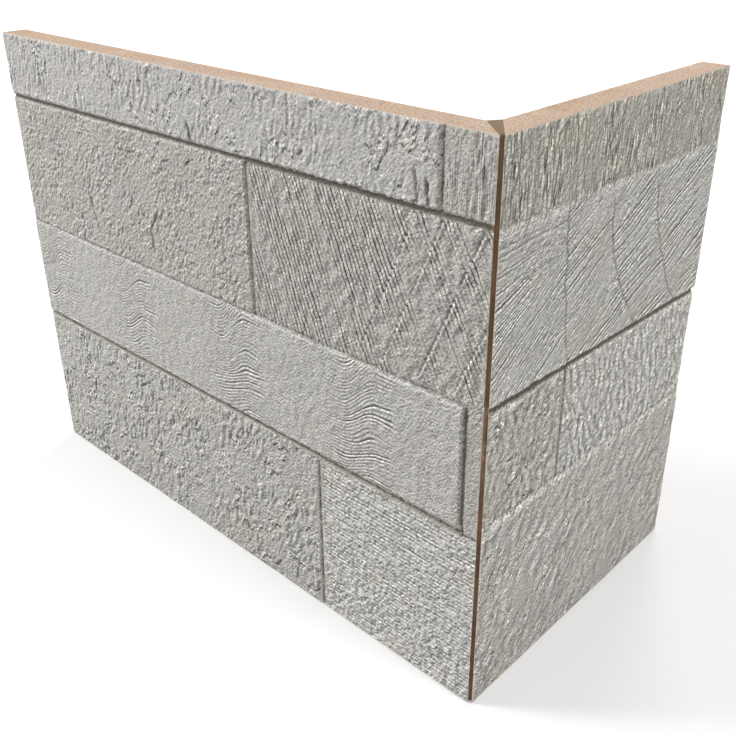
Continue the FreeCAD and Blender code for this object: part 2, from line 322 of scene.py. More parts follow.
@dataclass
class Work:
    """What a tool leaves: relief in millimetres, its strokes, and how strong chips and sand are.

    The count goes up by one from each stroke to the next, against the light. The finish draws
    strokes as crisp lines of painted shade and highlight, chips as crisp rims of painted light
    and shade, and sand as the finest grain with painted light and shade. The darkening says how
    much darker a place is drawn, from 0 to 1, as at the bottom of a cut.
    """

    relief: Array
    count: Array | float = 0.0
    strokes: Array | float = 0.0
    chips: Array | float = 0.0
    sand: Array | float = 1.0
    darkening: Array | float = 0.0


@dataclass(frozen=True)
class Dressing:
    """The way a stone's face is worked: its seed, grain and cracks, and how strong chips and sand are."""

    seed: int
    grain: Grain = Grain()
    cracks: tuple[Crack, ...] = ()
    chips: float = 0.0
    chips_least: float = 0.1
    sand: float = 1.0
    clusters: tuple[Waves, ...] = (Waves(19.0, 14.0, 95), Waves(7.0, 6.0, 96, 0.5))

    def dressed(self, along: Array, up: Array) -> Work:
        """Work the face, with its grain, its darkened cracks, and its chips in clusters.

        Args:
            along: Places along the leaf.
            up: Places up the leaf.

        Returns:
            What the tool leaves, with all of these laid over it.
        """
        work = self.worked(along, up)
        work.relief = work.relief + self.grain.relief(along, up, self.seed + 90)
        for crack in self.cracks:
            cut = crack.relief(along, up)
            work.relief = work.relief + cut
            work.darkening = np.maximum(work.darkening, np.clip(-1.1 * cut / crack.depth, 0.0, 0.85))
        cluster = sum(waves.over(along, up, self.seed) for waves in self.clusters)
        share = self.chips_least + (1.0 - self.chips_least) * between(cluster, -0.1, 0.4)
        work.chips = self.chips * share
        work.sand = self.sand * (0.75 + 0.25 * share)
        return work

    def worked(self, along: Array, up: Array) -> Work:
        """Return what the tool leaves; a plain dressing leaves nothing."""
        return Work(np.zeros_like(along))


def flaked(x: Array, y: Array, seed: int, sharpness: float = 4.0) -> Array:
    """Return noise pressed flat above and below, so that steep rims part raised and sunk flakes."""
    return np.tanh(sharpness * noise(x, y, seed))


@dataclass(frozen=True)
class SplitFace(Dressing):
    """A split face: flakes with crisp rims in clusters, with smoother patches between."""

    flake_width: float = 3.0
    flake_height: float = 5.0
    small_width: float = 0.55
    small_height: float = 0.5
    lean: float = -8.0
    lift: float = 0.2
    calm: float = 0.15
    bend: Waves = Waves(8.0, 12.0, 0, 1.6)
    flaky: Patches = Patches(25.0, 17.0, 6, -0.25, 0.35)
    broken: Patches = Patches(12.0, 10.0, 7, -0.1, 0.5)
    lumps: Waves = Waves(4.2, 6.0, 8, 0.14)
    slow: Waves = Waves(33.0, 26.0, 9, 0.25)

    def worked(self, along: Array, up: Array) -> Work:
        """Lay flakes at two sizes, stronger in clusters, on a slow swell.

        Flakes are noise pressed flat. Slow noise says where they are strong, and bends them.

        Args:
            along: Places along the leaf.
            up: Places up the leaf.

        Returns:
            The relief of the flakes.
        """
        seed = self.seed
        across, length = leaned(along, up, self.lean)
        across = across + self.bend.over(across, length, seed)
        x, y = across / self.flake_width, length / self.flake_height
        small = flaked(x / self.small_width, y / self.small_height, seed + 2)
        strength = self.calm + (1.0 - self.calm) * self.flaky.over(along, up, seed)
        flakes = flaked(x, y, seed + 1) + 0.55 * self.broken.over(along, up, seed) * small
        ground = self.lumps.over(across, length, seed) + self.slow.over(along, up, seed)
        return Work(self.lift * strength * flakes + ground)


@dataclass(frozen=True)
class CombedFace(Dressing):
    """A face combed upright with needles; widths of furrows are in pitches."""

    pitch: float = 1.3
    strength: float = 0.3
    needles: float = 1.6
    scratches: float = 0.35
    scratch_lean: float = 52.0
    lines: float = 0.75
    line_pitch: float = 1.15
    faces_right: bool = False
    sway: Waves = Waves(9.0, 24.0, 0, 0.7)
    combed: Patches = Patches(15.0, 26.0, 7, -0.3, 0.3, 0.45)
    fine: Waves = Waves(1.0, 7.0, 1, 1.3)
    broad: Waves = Waves(2.6, 17.0, 2, 0.9)
    deep: Patches = Patches(1.9, 15.0, 3, 0.4, 0.8)
    scratched: Patches = Patches(1.9, 13.0, 4, 0.4, 0.8)
    line_sway: Waves = Waves(2.5, 14.0, 9, 0.35)
    broken: Patches = Patches(1 / 2.7, 9.0, 8, -0.35, 0.45)
    slow: Waves = Waves(28.0, 20.0, 6, 0.28)

    def worked(self, along: Array, up: Array) -> Work:
        """Comb upright furrows: noise drawn out tall at two widths, with deep needle marks and scratches.

        Args:
            along: Places along the leaf.
            up: Places up the leaf.

        Returns:
            The relief of the furrows, and the count and strength of the lines.
        """
        seed = self.seed
        x = along + self.sway.over(along, up, seed)
        furrow = x / self.pitch
        here = self.combed.over(along, up, seed)
        relief = self.fine.over(furrow, up, seed) + self.broad.over(furrow, up, seed)
        relief = relief - self.needles * self.deep.over(furrow, up, seed)
        scratch = self.scratched.over(*leaned(along, up, self.scratch_lean), seed)
        ground = self.slow.over(along, up, seed) - self.scratches * scratch
        count = (x + self.line_sway.over(x, up, seed)) / (self.line_pitch * self.pitch)
        strokes = self.lines * here * self.broken.over(np.round(count), up, seed)
        count = -count if self.faces_right else count
        return Work(self.strength * here * relief + ground, count, strokes)


@dataclass(frozen=True)
class GrainyFace(Dressing):
    """A granular face: leaning beads, with pits, scattered rims and slow swells.

    The sizes of its lumps, holes and flakes are in beads.
    """

    bead: float = 2.2
    stretch: float = 1.6
    lean: float = -28.0
    strength: float = 0.3
    pits: float = 0.4
    rims: float = 0.0
    swell: float = 0.25
    calm: float = 0.4
    bend: Waves = Waves(11.0, 9.0, 8, 1.5)
    lumps: Waves = Waves(2.4, 2.0, 2, 0.8)
    holes: Patches = Patches(1.3, 1.1, 3, 0.42, 0.8)
    flake_width: float = 2.1
    flake_height: float = 1.5
    slow: Waves = Waves(34.0, 28.0, 4)
    coarse: Patches = Patches(24.0, 20.0, 6, -0.35, 0.2)

    def worked(self, along: Array, up: Array) -> Work:
        """Lay beads bent by slow noise, pits in their hollows, rims of flakes and slow swells.

        Args:
            along: Places along the leaf.
            up: Places up the leaf.

        Returns:
            The relief of all of these.
        """
        seed = self.seed
        across, length = leaned(along, up, self.lean)
        across = across + self.bend.over(along, up, seed)
        x, y = across / self.bead, length / (self.bead * self.stretch)
        relief = self.strength * (noise(x, y, seed) + self.lumps.over(x, y, seed))
        relief = relief - self.pits * self.holes.over(x, y, seed)
        relief = relief + self.rims * flaked(x / self.flake_width, y / self.flake_height, seed + 5, 3.0)
        rough = self.calm + (1.0 - self.calm) * self.coarse.over(along, up, seed)
        return Work(rough * relief + self.swell * self.slow.over(along, up, seed))


@dataclass(frozen=True)
class Crossing:
    """A stroke that crosses the raked ones: where it starts along the top, and its depth."""

    start: float
    depth: float


@dataclass(frozen=True)
class RakedFace(Dressing):
    """A face raked with a fan of leaning strokes in groups, crossed by others near the corner."""

    top: float = 262.0
    pitch: float = 2.7
    depth: float = 0.42
    lean_at_corner: float = 30.0
    lean_far: float = 20.0
    width: float = 157.0
    cross_lean: float = 23.8
    cross_width: float = 1.5
    cross_shift: float = 0.9
    crossings: tuple[Crossing, ...] = (
        Crossing(43.0, 0.3),
        Crossing(28.0, 0.35),
        Crossing(5.5, 0.6),
        Crossing(-16.0, 0.45),
        Crossing(-33.0, 0.4),
    )
    wander: Waves = Waves(12.0, 18.0, 0, 0.5)
    jitter: Waves = Waves(3.0, 6.0, 9, 0.3)
    cross_wander: Waves = Waves(9.0, 20.0, 3, 0.7)
    run_on: Waves = Waves(1.9, 40.0, 10, 11.0)
    cross_kept: Patches = Patches(13.0, 1.0, 4, -0.5, 0.1)
    broken: Patches = Patches(1 / 1.73, 34.0, 1, -0.6, 0.1, 0.3)
    grouped: Patches = Patches(11.0, 70.0, 2, -0.2, 0.1)
    lumps: Waves = Waves(4.2, 5.5, 8, 0.4)
    slow: Waves = Waves(26.0, 22.0, 6, 0.22)

    def fan_start(self, along: Array, drop: Array) -> Array:
        """Find where along the top the raked stroke through each place starts.

        A stroke comes down towards the corner, and its slope grows evenly from the far side to
        the corner, so its start follows from one division. Noise bends the strokes.

        Args:
            along: Places along the leaf.
            drop: How far each place is below the top.

        Returns:
            The start of the stroke at each place.
        """
        near = math.tan(math.radians(self.lean_at_corner))
        change = (math.tan(math.radians(self.lean_far)) - near) / self.width
        start = (along + drop * near) / (1.0 - drop * change)
        start = start + self.wander.over(start, drop, self.seed)
        return start + self.jitter.over(start, drop, self.seed)

    def worked(self, along: Array, up: Array) -> Work:
        """Rake the fan of strokes and cut the strokes that cross it.

        Noise breaks the strokes and gathers them in groups. Each crossing stroke shifts the
        raked ones beyond it, where they fade out.

        Args:
            along: Places along the leaf.
            up: Places up the leaf.

        Returns:
            The relief, count, strength and darkening of the strokes.
        """
        seed = self.seed
        drop = self.top - up
        start = self.fan_start(along, drop)
        other = along - drop * math.tan(math.radians(self.cross_lean))
        other = other + self.cross_wander.over(other, drop, seed)
        crossed = np.zeros_like(along)
        darkening = np.zeros_like(along)
        strength = np.ones_like(along)
        for number, crossing in enumerate(self.crossings):
            away = crossing.start - other
            beyond = away > 0.0
            start = start + self.cross_shift * beyond
            length = np.maximum(11.0 + self.run_on.over(start, drop, seed), 3.0)
            strength = np.where(beyond, 0.3 + 0.65 * between(-away, -length, -1.0), strength)
            kept = crossing.depth * self.cross_kept.over(drop, away * 0.0 + number, seed)
            line = ridge(away, self.cross_width / 2.0)
            crossed = crossed + kept * (0.55 * ridge(away - self.cross_width, self.cross_width) - line)
            darkening = np.maximum(darkening, 1.1 * kept * line)
        phase = start / self.pitch
        mark = np.round(phase)
        strength = strength * self.broken.over(mark, drop, seed)
        strength = strength * (0.35 + 0.85 * self.grouped.over(start, drop, seed))
        strength = strength * (0.6 + 0.8 * drawn(mark, mark, seed + 7))
        strokes = strength * (0.3 * notches(phase + 0.42, 0.6) - self.depth * notches(phase, 0.6))
        ground = self.lumps.over(along, up, seed) + self.slow.over(along, up, seed)
        return Work(strokes + crossed + ground, -phase, 2.0 * strength, darkening=darkening)


@dataclass(frozen=True)
class RipplePatch:
    """A patch of ripples: the place of its middle along the leaf, and how strong it is."""

    middle: float
    strength: float


@dataclass(frozen=True)
class RippledFace(Dressing):
    """A smooth sandy face with patches of curved furrows and faint scratches near the corner."""

    patches: tuple[RipplePatch, ...] = ()
    pitch: float = 2.1
    depth: float = 0.26
    reach: float = 52.0
    steep_share: float = 0.5
    rise: float = 14.0
    main_share: float = 0.24
    tall_from: float = 112.0
    tall_over: float = 55.0
    scratch_lean: float = 42.0
    scratch_depth: float = 0.3
    scratched: tuple[float, float] = (35.0, 50.0)
    ground: tuple[Waves, ...] = (Waves(22.0, 17.0, 1, 0.2), Waves(4.2, 5.0, 3, 0.2))
    scratches: Patches = Patches(1.4, 14.0, 2, 0.35, 0.75)
    sway: Waves = Waves(22.0, 14.0, 0, 2.2)
    lift: Waves = Waves(9.0, 1.0, 6, 0.8)
    ragged: Waves = Waves(1.0, 2.6, 1, 0.09)
    broken: Patches = Patches(1 / 3.1, 17.0, 2, -0.6, 0.2, 0.25)

    def worked(self, along: Array, up: Array) -> Work:
        """Lay the patches of ripples on a sandy ground.

        In a patch the furrows rise towards the corner by half a cosine wave, so the count of a
        point is its height less that rise, in pitches. The ripples grow from the far side and
        stop short on the corner side. A few of the furrows are deeper.

        Args:
            along: Places along the leaf.
            up: Places up the leaf.

        Returns:
            The relief, count and strength of the ripples.
        """
        total = sum(waves.over(along, up, self.seed) for waves in self.ground)
        across, length = leaned(along, up, self.scratch_lean)
        scratch = self.scratches.over(across, length, self.seed)
        total = total - self.scratch_depth * scratch * (1.0 - between(along, *self.scratched))
        tall = 0.6 + 0.6 * between(up, self.tall_from, self.tall_from + self.tall_over)
        level = np.zeros_like(along)
        count = np.zeros_like(along)
        strength = np.zeros_like(along)
        for number, patch in enumerate(self.patches):
            seed = self.seed + 10 * (number + 1)
            share = (along - patch.middle) / self.reach + 0.5
            risen = np.clip((share - 0.5) / self.steep_share + 0.5, 0.0, 1.0)
            curve = tall * self.rise / 2.0 * np.cos(math.pi * risen)
            sway = self.sway.over(along, up, seed) + self.lift.over(up, level, seed)
            here = (up - curve + sway) / self.pitch
            ragged = self.ragged.over(level, up, seed)
            inside = between(share + ragged, -0.06, 0.16) * between(1.0 - share + ragged, -0.05, 0.3)
            mark = np.round(here)
            deep = np.where(drawn(mark, level + number, seed + 4) < self.main_share, 1.6, 0.7)
            lit = patch.strength * inside * deep * self.broken.over(mark, along, seed)
            within = inside > 0.0
            count = np.where(within, here, count)
            strength = np.where(within, lit, strength)
        furrow = 0.2 * notches(count + 0.45, 0.7) - notches(count, 0.6)
        return Work(total + self.depth * strength * furrow, count, strength)


@dataclass(frozen=True)
class PickedFace(Dressing):
    """A face with level tooling lines, broken by dense leaning pick marks."""

    row_pitch: float = 2.42
    row_depth: float = 0.3
    main_share: float = 0.28
    pick_width: float = 1.9
    pick_height: float = 3.0
    pick_depth: float = 0.6
    pick_lean: float = -14.0
    rough_below: float = 48.0
    wander: Waves = Waves(13.0, 6.0, 0, 0.3)
    dashes: Patches = Patches(12.0, 1 / 2.3, 1, -0.55, 0.1)
    short_dashes: Patches = Patches(2.2, 1 / 1.7, 3, -0.3, 0.2, 0.6)
    dots: Patches = Patches(1.5, 1 / 1.3, 10, -0.1, 0.25)
    beads: Waves = Waves(1.9, 2.6, 6)
    lumps: Waves = Waves(4.0, 5.0, 9)
    slow: Waves = Waves(17.0, 15.0, 7, 0.2)

    def worked(self, along: Array, up: Array) -> Work:
        """Tool level rows, some of them deep, with pits in a part of the cells, and bumps.

        A pit is deepest at its cell's centre and gone a third of a cell away. The rows fade and
        the bumps grow lower down.

        Args:
            along: Places along the leaf.
            up: Places up the leaf.

        Returns:
            The relief, count, strength and darkening of the rows and pits.
        """
        seed = self.seed
        row = (up + self.wander.over(along, up, seed)) / self.row_pitch
        mark = np.round(row)
        main = drawn(mark, mark, seed + 8) < self.main_share
        lower = 1.0 - between(up, self.rough_below - 25.0, self.rough_below + 20.0)
        dashed = self.dashes.over(along, mark, seed) * self.short_dashes.over(along, mark, seed)
        strength = np.where(main, 2.1, 1.3) * dashed * (1.0 - 0.35 * lower)
        rows = -self.row_depth * strength * notches(row, 0.65)
        across, length = leaned(along, up, self.pick_lean)
        away, owner = cells(across / self.pick_width, length / self.pick_height, seed + 2)
        struck = between(owner, 0.45, 0.56)
        pits = -self.pick_depth * struck * (1.0 - between(away, 0.05, 0.36))
        bumps = (0.12 + 0.12 * lower) * self.beads.over(across, length, seed)
        bumps = bumps + (0.12 + 0.22 * lower) * self.lumps.over(across, length, seed)
        lines = np.where(main, 1.0, 0.55) * self.dots.over(along, mark, seed)
        lines = lines * notches(row, 0.5) * (1.0 - 0.6 * lower)
        darkening = np.maximum(struck * (1.0 - between(away, 0.05, 0.4)), 0.8 * dashed * lines)
        relief = rows + pits + bumps + self.slow.over(along, up, seed)
        return Work(relief, row, 0.6 * strength, darkening=darkening)


@dataclass(frozen=True)
class Ring:
    """A sawn ring: where it starts along the top, and how far it runs off by the foot of its stone."""

    start: float
    run: float

    def place(self, share: Array) -> Array:
        """Return where the ring is along the leaf: it runs off by the square of the share of the drop."""
        return self.start + self.run * np.maximum(share, 0.0) ** 2


@dataclass(frozen=True)
class SawnFace(Dressing):
    """A face with curved rings that part it in sectors, and strokes that rise across each sector."""

    top: float = 263.0
    drop: float = 82.0
    rings: tuple[Ring, ...] = (Ring(54.5, 10.0), Ring(92.5, 34.0), Ring(136.0, 33.0))
    ring_width: float = 2.0
    ring_depth: float = 0.5
    fan_middle: float = 245.0
    fan_turn: float = 0.0135
    fan_least: float = 0.06
    fan_most: float = 0.68
    stroke_pitch: float = 2.5
    stroke_depth: float = 0.17
    steps: int = 6
    wobble: tuple[Waves, ...] = (Waves(12.0, 60.0, 0, 1.4), Waves(4.0, 60.0, 9, 0.6))
    ring_kept: Patches = Patches(10.0, 1.0, 1, -0.6, 0.2, 0.45)
    bend: Waves = Waves(7.0, 45.0, 2, 1.5)
    jitter: Waves = Waves(5.0, 5.0, 3, 0.35)
    broken: Patches = Patches(1.0, 27.0, 4, -0.55, 0.1)
    patch: Patches = Patches(26.0, 20.0, 8, -0.35, 0.15, 0.4)
    lumps: Waves = Waves(4.2, 3.4, 6, 0.16)
    slow: Waves = Waves(27.0, 23.0, 7, 0.45)

    def slopes(self, sector: Array, start: Array) -> Array:
        """Work out the slope of a stroke from its sector and the height where it starts.

        In the first sector strokes fan out, steeper lower down. In the next one they are nearly
        parallel, and further on those that start higher are the steeper ones.

        Args:
            sector: The sector of each place, from 0 up.
            start: The height where the stroke of each place starts.

        Returns:
            The slope of the stroke at each place.
        """
        turn = np.clip(0.08 + (self.fan_middle - start) * self.fan_turn, self.fan_least, self.fan_most)
        further = np.clip(0.31 + 0.004 * (start - 190.0), 0.28, 0.56)
        return np.where(sector < 1, turn, np.where(sector < 2, 0.5, further))

    def worked(self, along: Array, up: Array) -> Work:
        """Saw the rings and the strokes of each sector.

        The sector of a point is the number of rings it has passed. A stroke starts at its
        sector's near ring. Its slope depends on the height where it starts, which is found by
        stepping back along the slope a few times.

        Args:
            along: Places along the leaf.
            up: Places up the leaf.

        Returns:
            The relief, count, strength and darkening of the rings and strokes.
        """
        seed = self.seed
        share = (self.top - up) / self.drop
        wobble = sum(waves.over(up, along, seed) for waves in self.wobble)
        sector = np.zeros_like(along)
        begun = np.zeros_like(along)
        rings = np.zeros_like(along)
        darkening = np.zeros_like(along)
        for number, ring in enumerate(self.rings):
            away = along - ring.place(share) + wobble
            sector = sector + (away > 0.0)
            begun = np.where(away > 0.0, along - away, begun)
            kept = self.ring_kept.over(up, away * 0.0 + number, seed)
            line = ridge(away, self.ring_width / 2.0)
            lip = ridge(away - self.ring_width, self.ring_width)
            rings = rings + kept * (0.08 * lip - self.ring_depth * line)
            darkening = np.maximum(darkening, kept * line)
        reach = along - begun
        start = up - 0.4 * reach
        for _ in range(self.steps):
            start = up - reach * self.slopes(sector, start)
        start = start + self.bend.over(start, along, seed) + self.jitter.over(along, up, 0)
        phase = start / self.stroke_pitch
        line = np.round(phase)
        patch = self.patch.over(along, up, seed)
        faint = 0.3 + 0.7 * between(self.top - up, 3.0, 30.0)
        strength = np.where(sector < 1, faint * (0.6 + 0.4 * patch), 1.15 * patch)
        strength = strength * (0.5 + 1.9 * drawn(line, sector, seed + 3) ** 1.3)
        strength = strength * self.broken.over(line * 1.9 + 7.0 * sector, along, seed)
        strokes = self.stroke_depth * strength * (0.1 * notches(phase + 0.45, 0.7) - notches(phase, 0.6))
        ground = self.lumps.over(along, up, seed) + self.slow.over(along, up, seed)
        return Work(rings + strokes + ground, phase, strength, darkening=darkening)


@dataclass(frozen=True)
class WeatheredFace(Dressing):
    """A weathered face of soft lumps and wrinkles, with a few leaning hollows."""

    lean: float = 24.0
    wrinkle: float = 0.22
    wrinkle_width: float = 5.5
    wrinkle_height: float = 9.0
    hollow: float = 0.85
    bend: Waves = Waves(17.0, 14.0, 0, 3.0)
    lift: Waves = Waves(15.0, 19.0, 1, 4.0)
    wrinkled: Patches = Patches(21.0, 18.0, 3, -0.5, 0.3)
    lumps: tuple[Waves, ...] = (Waves(6.0, 10.0, 4, 0.44), Waves(2.6, 3.6, 5, 0.12))
    sunk: Patches = Patches(3.2, 5.0, 6, 0.5, 0.85)
    slow: Waves = Waves(38.0, 32.0, 8, 0.8)

    def worked(self, along: Array, up: Array) -> Work:
        """Lay rims of broad flakes, soft lumps and sparse leaning hollows on a slow swell.

        Args:
            along: Places along the leaf.
            up: Places up the leaf.

        Returns:
            The relief of all of these.
        """
        seed = self.seed
        x, y = along + self.bend.over(along, up, seed), up + self.lift.over(along, up, seed)
        across, length = leaned(x, y, self.lean)
        folds = flaked(across / self.wrinkle_width, length / self.wrinkle_height, seed + 2, 3.0)
        relief = self.wrinkle * folds * self.wrinkled.over(along, up, seed)
        relief = relief + sum(waves.over(across, length, seed) for waves in self.lumps)
        relief = relief - self.hollow * self.sunk.over(across, length, seed)
        return Work(relief + self.slow.over(along, up, seed))


# Colours


def linear(red: int, green: int, blue: int) -> Triple:
    """Turn a screen colour into the linear colour that shaders take.

    Small values are divided by 12.92, and the rest raised to the power 2.4 after an offset.

    Args:
        red: The screen's red, up to 255.
        green: Its green.
        blue: Its blue.

    Returns:
        The three linear parts, up to 1.
    """
    shares = np.array([red, green, blue]) / 255.0
    toe = shares / 12.92
    shoulder = ((shares + 0.055) / 1.055) ** 2.4
    return tuple(float(c) for c in np.where(shares <= 0.04045, toe, shoulder))


class Tint(Enum):
    """The stone colours that the blocks are printed in."""

    CHALK = linear(200, 199, 195)
    PALE = linear(184, 182, 179)
    SAND = linear(184, 182, 178)
    COOL = linear(181, 179, 174)
    WARM = linear(177, 174, 168)
    OLIVE = linear(172, 169, 161)
    EARTH = linear(165, 161, 152)
    JOINT = linear(127, 122, 108)
    CUT = linear(92, 87, 74)


def blended(share: Array, first: Tint, second: Tint) -> Array:
    """Return the colours that lie the given shares of the way from the first tint to the second."""
    share = share[..., None]
    return share * second.value + (1.0 - share) * first.value


# Leaves and their stones


@dataclass(frozen=True)
class Bed:
    """A bed joint or an edge: its height at the corner and at the free end, in millimetres."""

    at_corner: float
    at_end: float

    def height(self, along: Array, length: float) -> Array:
        """Return the bed's height at places along a leaf of a length."""
        return self.at_corner + (self.at_end - self.at_corner) * along / length

    def raised(self, rise: float) -> "Bed":
        """Return the bed moved up by a rise."""
        return Bed(self.at_corner + rise, self.at_end + rise)


@dataclass(frozen=True)
class Grout:
    """Grout that fills a joint nearly up to its stones, but for an open line along its middle.

    It lies between two places along and between two beds, at a depth. Then come the depth and the
    width of its open line, and how strong the ticks across that line are.
    """

    near: float
    far: float
    low: Bed
    high: Bed
    depth: float
    line_depth: float = 2.0
    line_width: float = 1.0
    ticks: float = 0.0
    upright: bool = False
    wander: Waves = Waves(3.5, 3.5, 75, 0.3)
    widths: Patches = Patches(7.0, 1.0, 76, -0.4, 0.4)
    ticked: Patches = Patches(1.5, 6.0, 74, 0.05, 0.5)
    grit: Waves = Waves(2.0, 2.0, 73, 0.1)

    def laid(
        self, along: Array, up: Array, length: float, depth: Array, tint: Array
    ) -> tuple[Array, Array]:
        """Lay the grout in the joints.

        Args:
            along: Places along the leaf.
            up: Places up the leaf.
            length: The leaf's length.
            depth: The depth of the joints so far.
            tint: The colour of the joints so far.

        Returns:
            The depth and the colour with the grout laid in.
        """
        low, high = self.low.height(along, length), self.high.height(along, length)
        inside = (along > self.near) & (along < self.far) & (up > low) & (up < high)
        if self.upright:
            away, run = along - (self.near + self.far) / 2.0, up
        else:
            away, run = up - (low + high) / 2.0, along
        away = np.abs(away + self.wander.over(along, up, 0))
        width = self.line_width * (0.75 + 0.6 * self.widths.over(run, away * 0.0, 0))
        line = 1.0 - between(away / width, 0.2, 0.75)
        tick = self.ticks * self.ticked.over(run, away, 0)
        line = np.maximum(line, tick * (1.0 - between(away, 0.8, 2.0)))
        face = self.depth + self.grit.over(along, up, 0) + (self.line_depth - self.depth) * line
        filled = (inside & (face < depth))[..., None]
        colour = blended(line, Tint.EARTH, Tint.JOINT)
        return np.where(inside, np.minimum(depth, face), depth), np.where(filled, colour, tint)


@dataclass(frozen=True)
class Block:
    """A pressed stone: its outline at the joint floor, its face's depth, its dressing and its colour.

    Its outline is ragged by so much, and its face rolls off below its upper edge, where a painted highlight
    makes it paler.
    """

    near: float
    far: float
    low: Bed
    high: Bed
    depth: float
    dressing: Dressing
    tint: Tint
    ragged: float = 0.35
    roll: float = 1.0
    roll_depth: float = 0.0
    painted_highlight: float = 0.0
    bites: tuple[Waves, ...] = (Waves(2.6, 2.6, 50), Waves(1.1, 1.1, 70, 0.6))

    def inside(self, along: Array, up: Array, length: float, number: int) -> Array:
        """Work out how far inside the ragged outline each place is.

        Args:
            along: Places along the leaf.
            up: Places up the leaf.
            length: The leaf's length.
            number: The stone's number, which picks the pattern of its ragged edge.

        Returns:
            The distance from the nearest side in millimetres, less than 0 outside.
        """
        sides = np.minimum(along - self.near, self.far - along)
        beds = np.minimum(up - self.low.height(along, length), self.high.height(along, length) - up)
        ragged = sum(waves.over(along, up, number) for waves in self.bites)
        return np.minimum(sides, beds) + self.ragged * np.minimum(ragged, 0.6)


@dataclass(frozen=True)
class Pressing:
    """Sizes that both leaves share, in millimetres and degrees."""

    relief: float = 2.4
    skin: float = 3.4
    wall_draft: float = 38.0
    wall_darkening: float = 1.3
    arris: float = 0.7
    rim: float = 1.6
    lap_under: float = 1.6
    over: float = 4.0
    bed_joint: float = 1.0
    wide_joint: float = 2.0
    head_joint: float = 0.9
    floor: Waves = Waves(2.2, 1.6, 71, 0.12)
    nicked: Patches = Patches(3.0, 3.0, 33, -0.2, 0.8)


PRESSING = Pressing()


@dataclass(frozen=True)
class KeyGrooves:
    """The keying grooves across the back, in millimetres."""

    pitch: float = 25.0
    width: float = 9.0
    depth: float = 0.9
    flank: float = 1.2
    stop: float = 14.0
    run_out: float = 2.4
    drag: Waves = Waves(40.0, 3.0, 91, 0.05)


@dataclass
class Pressed:
    """A pressed face: its depth, its colour, how much of it is wall, and marks for the finish."""

    depth: Array
    tint: Array
    wall: Array
    marks: dict[str, Array]


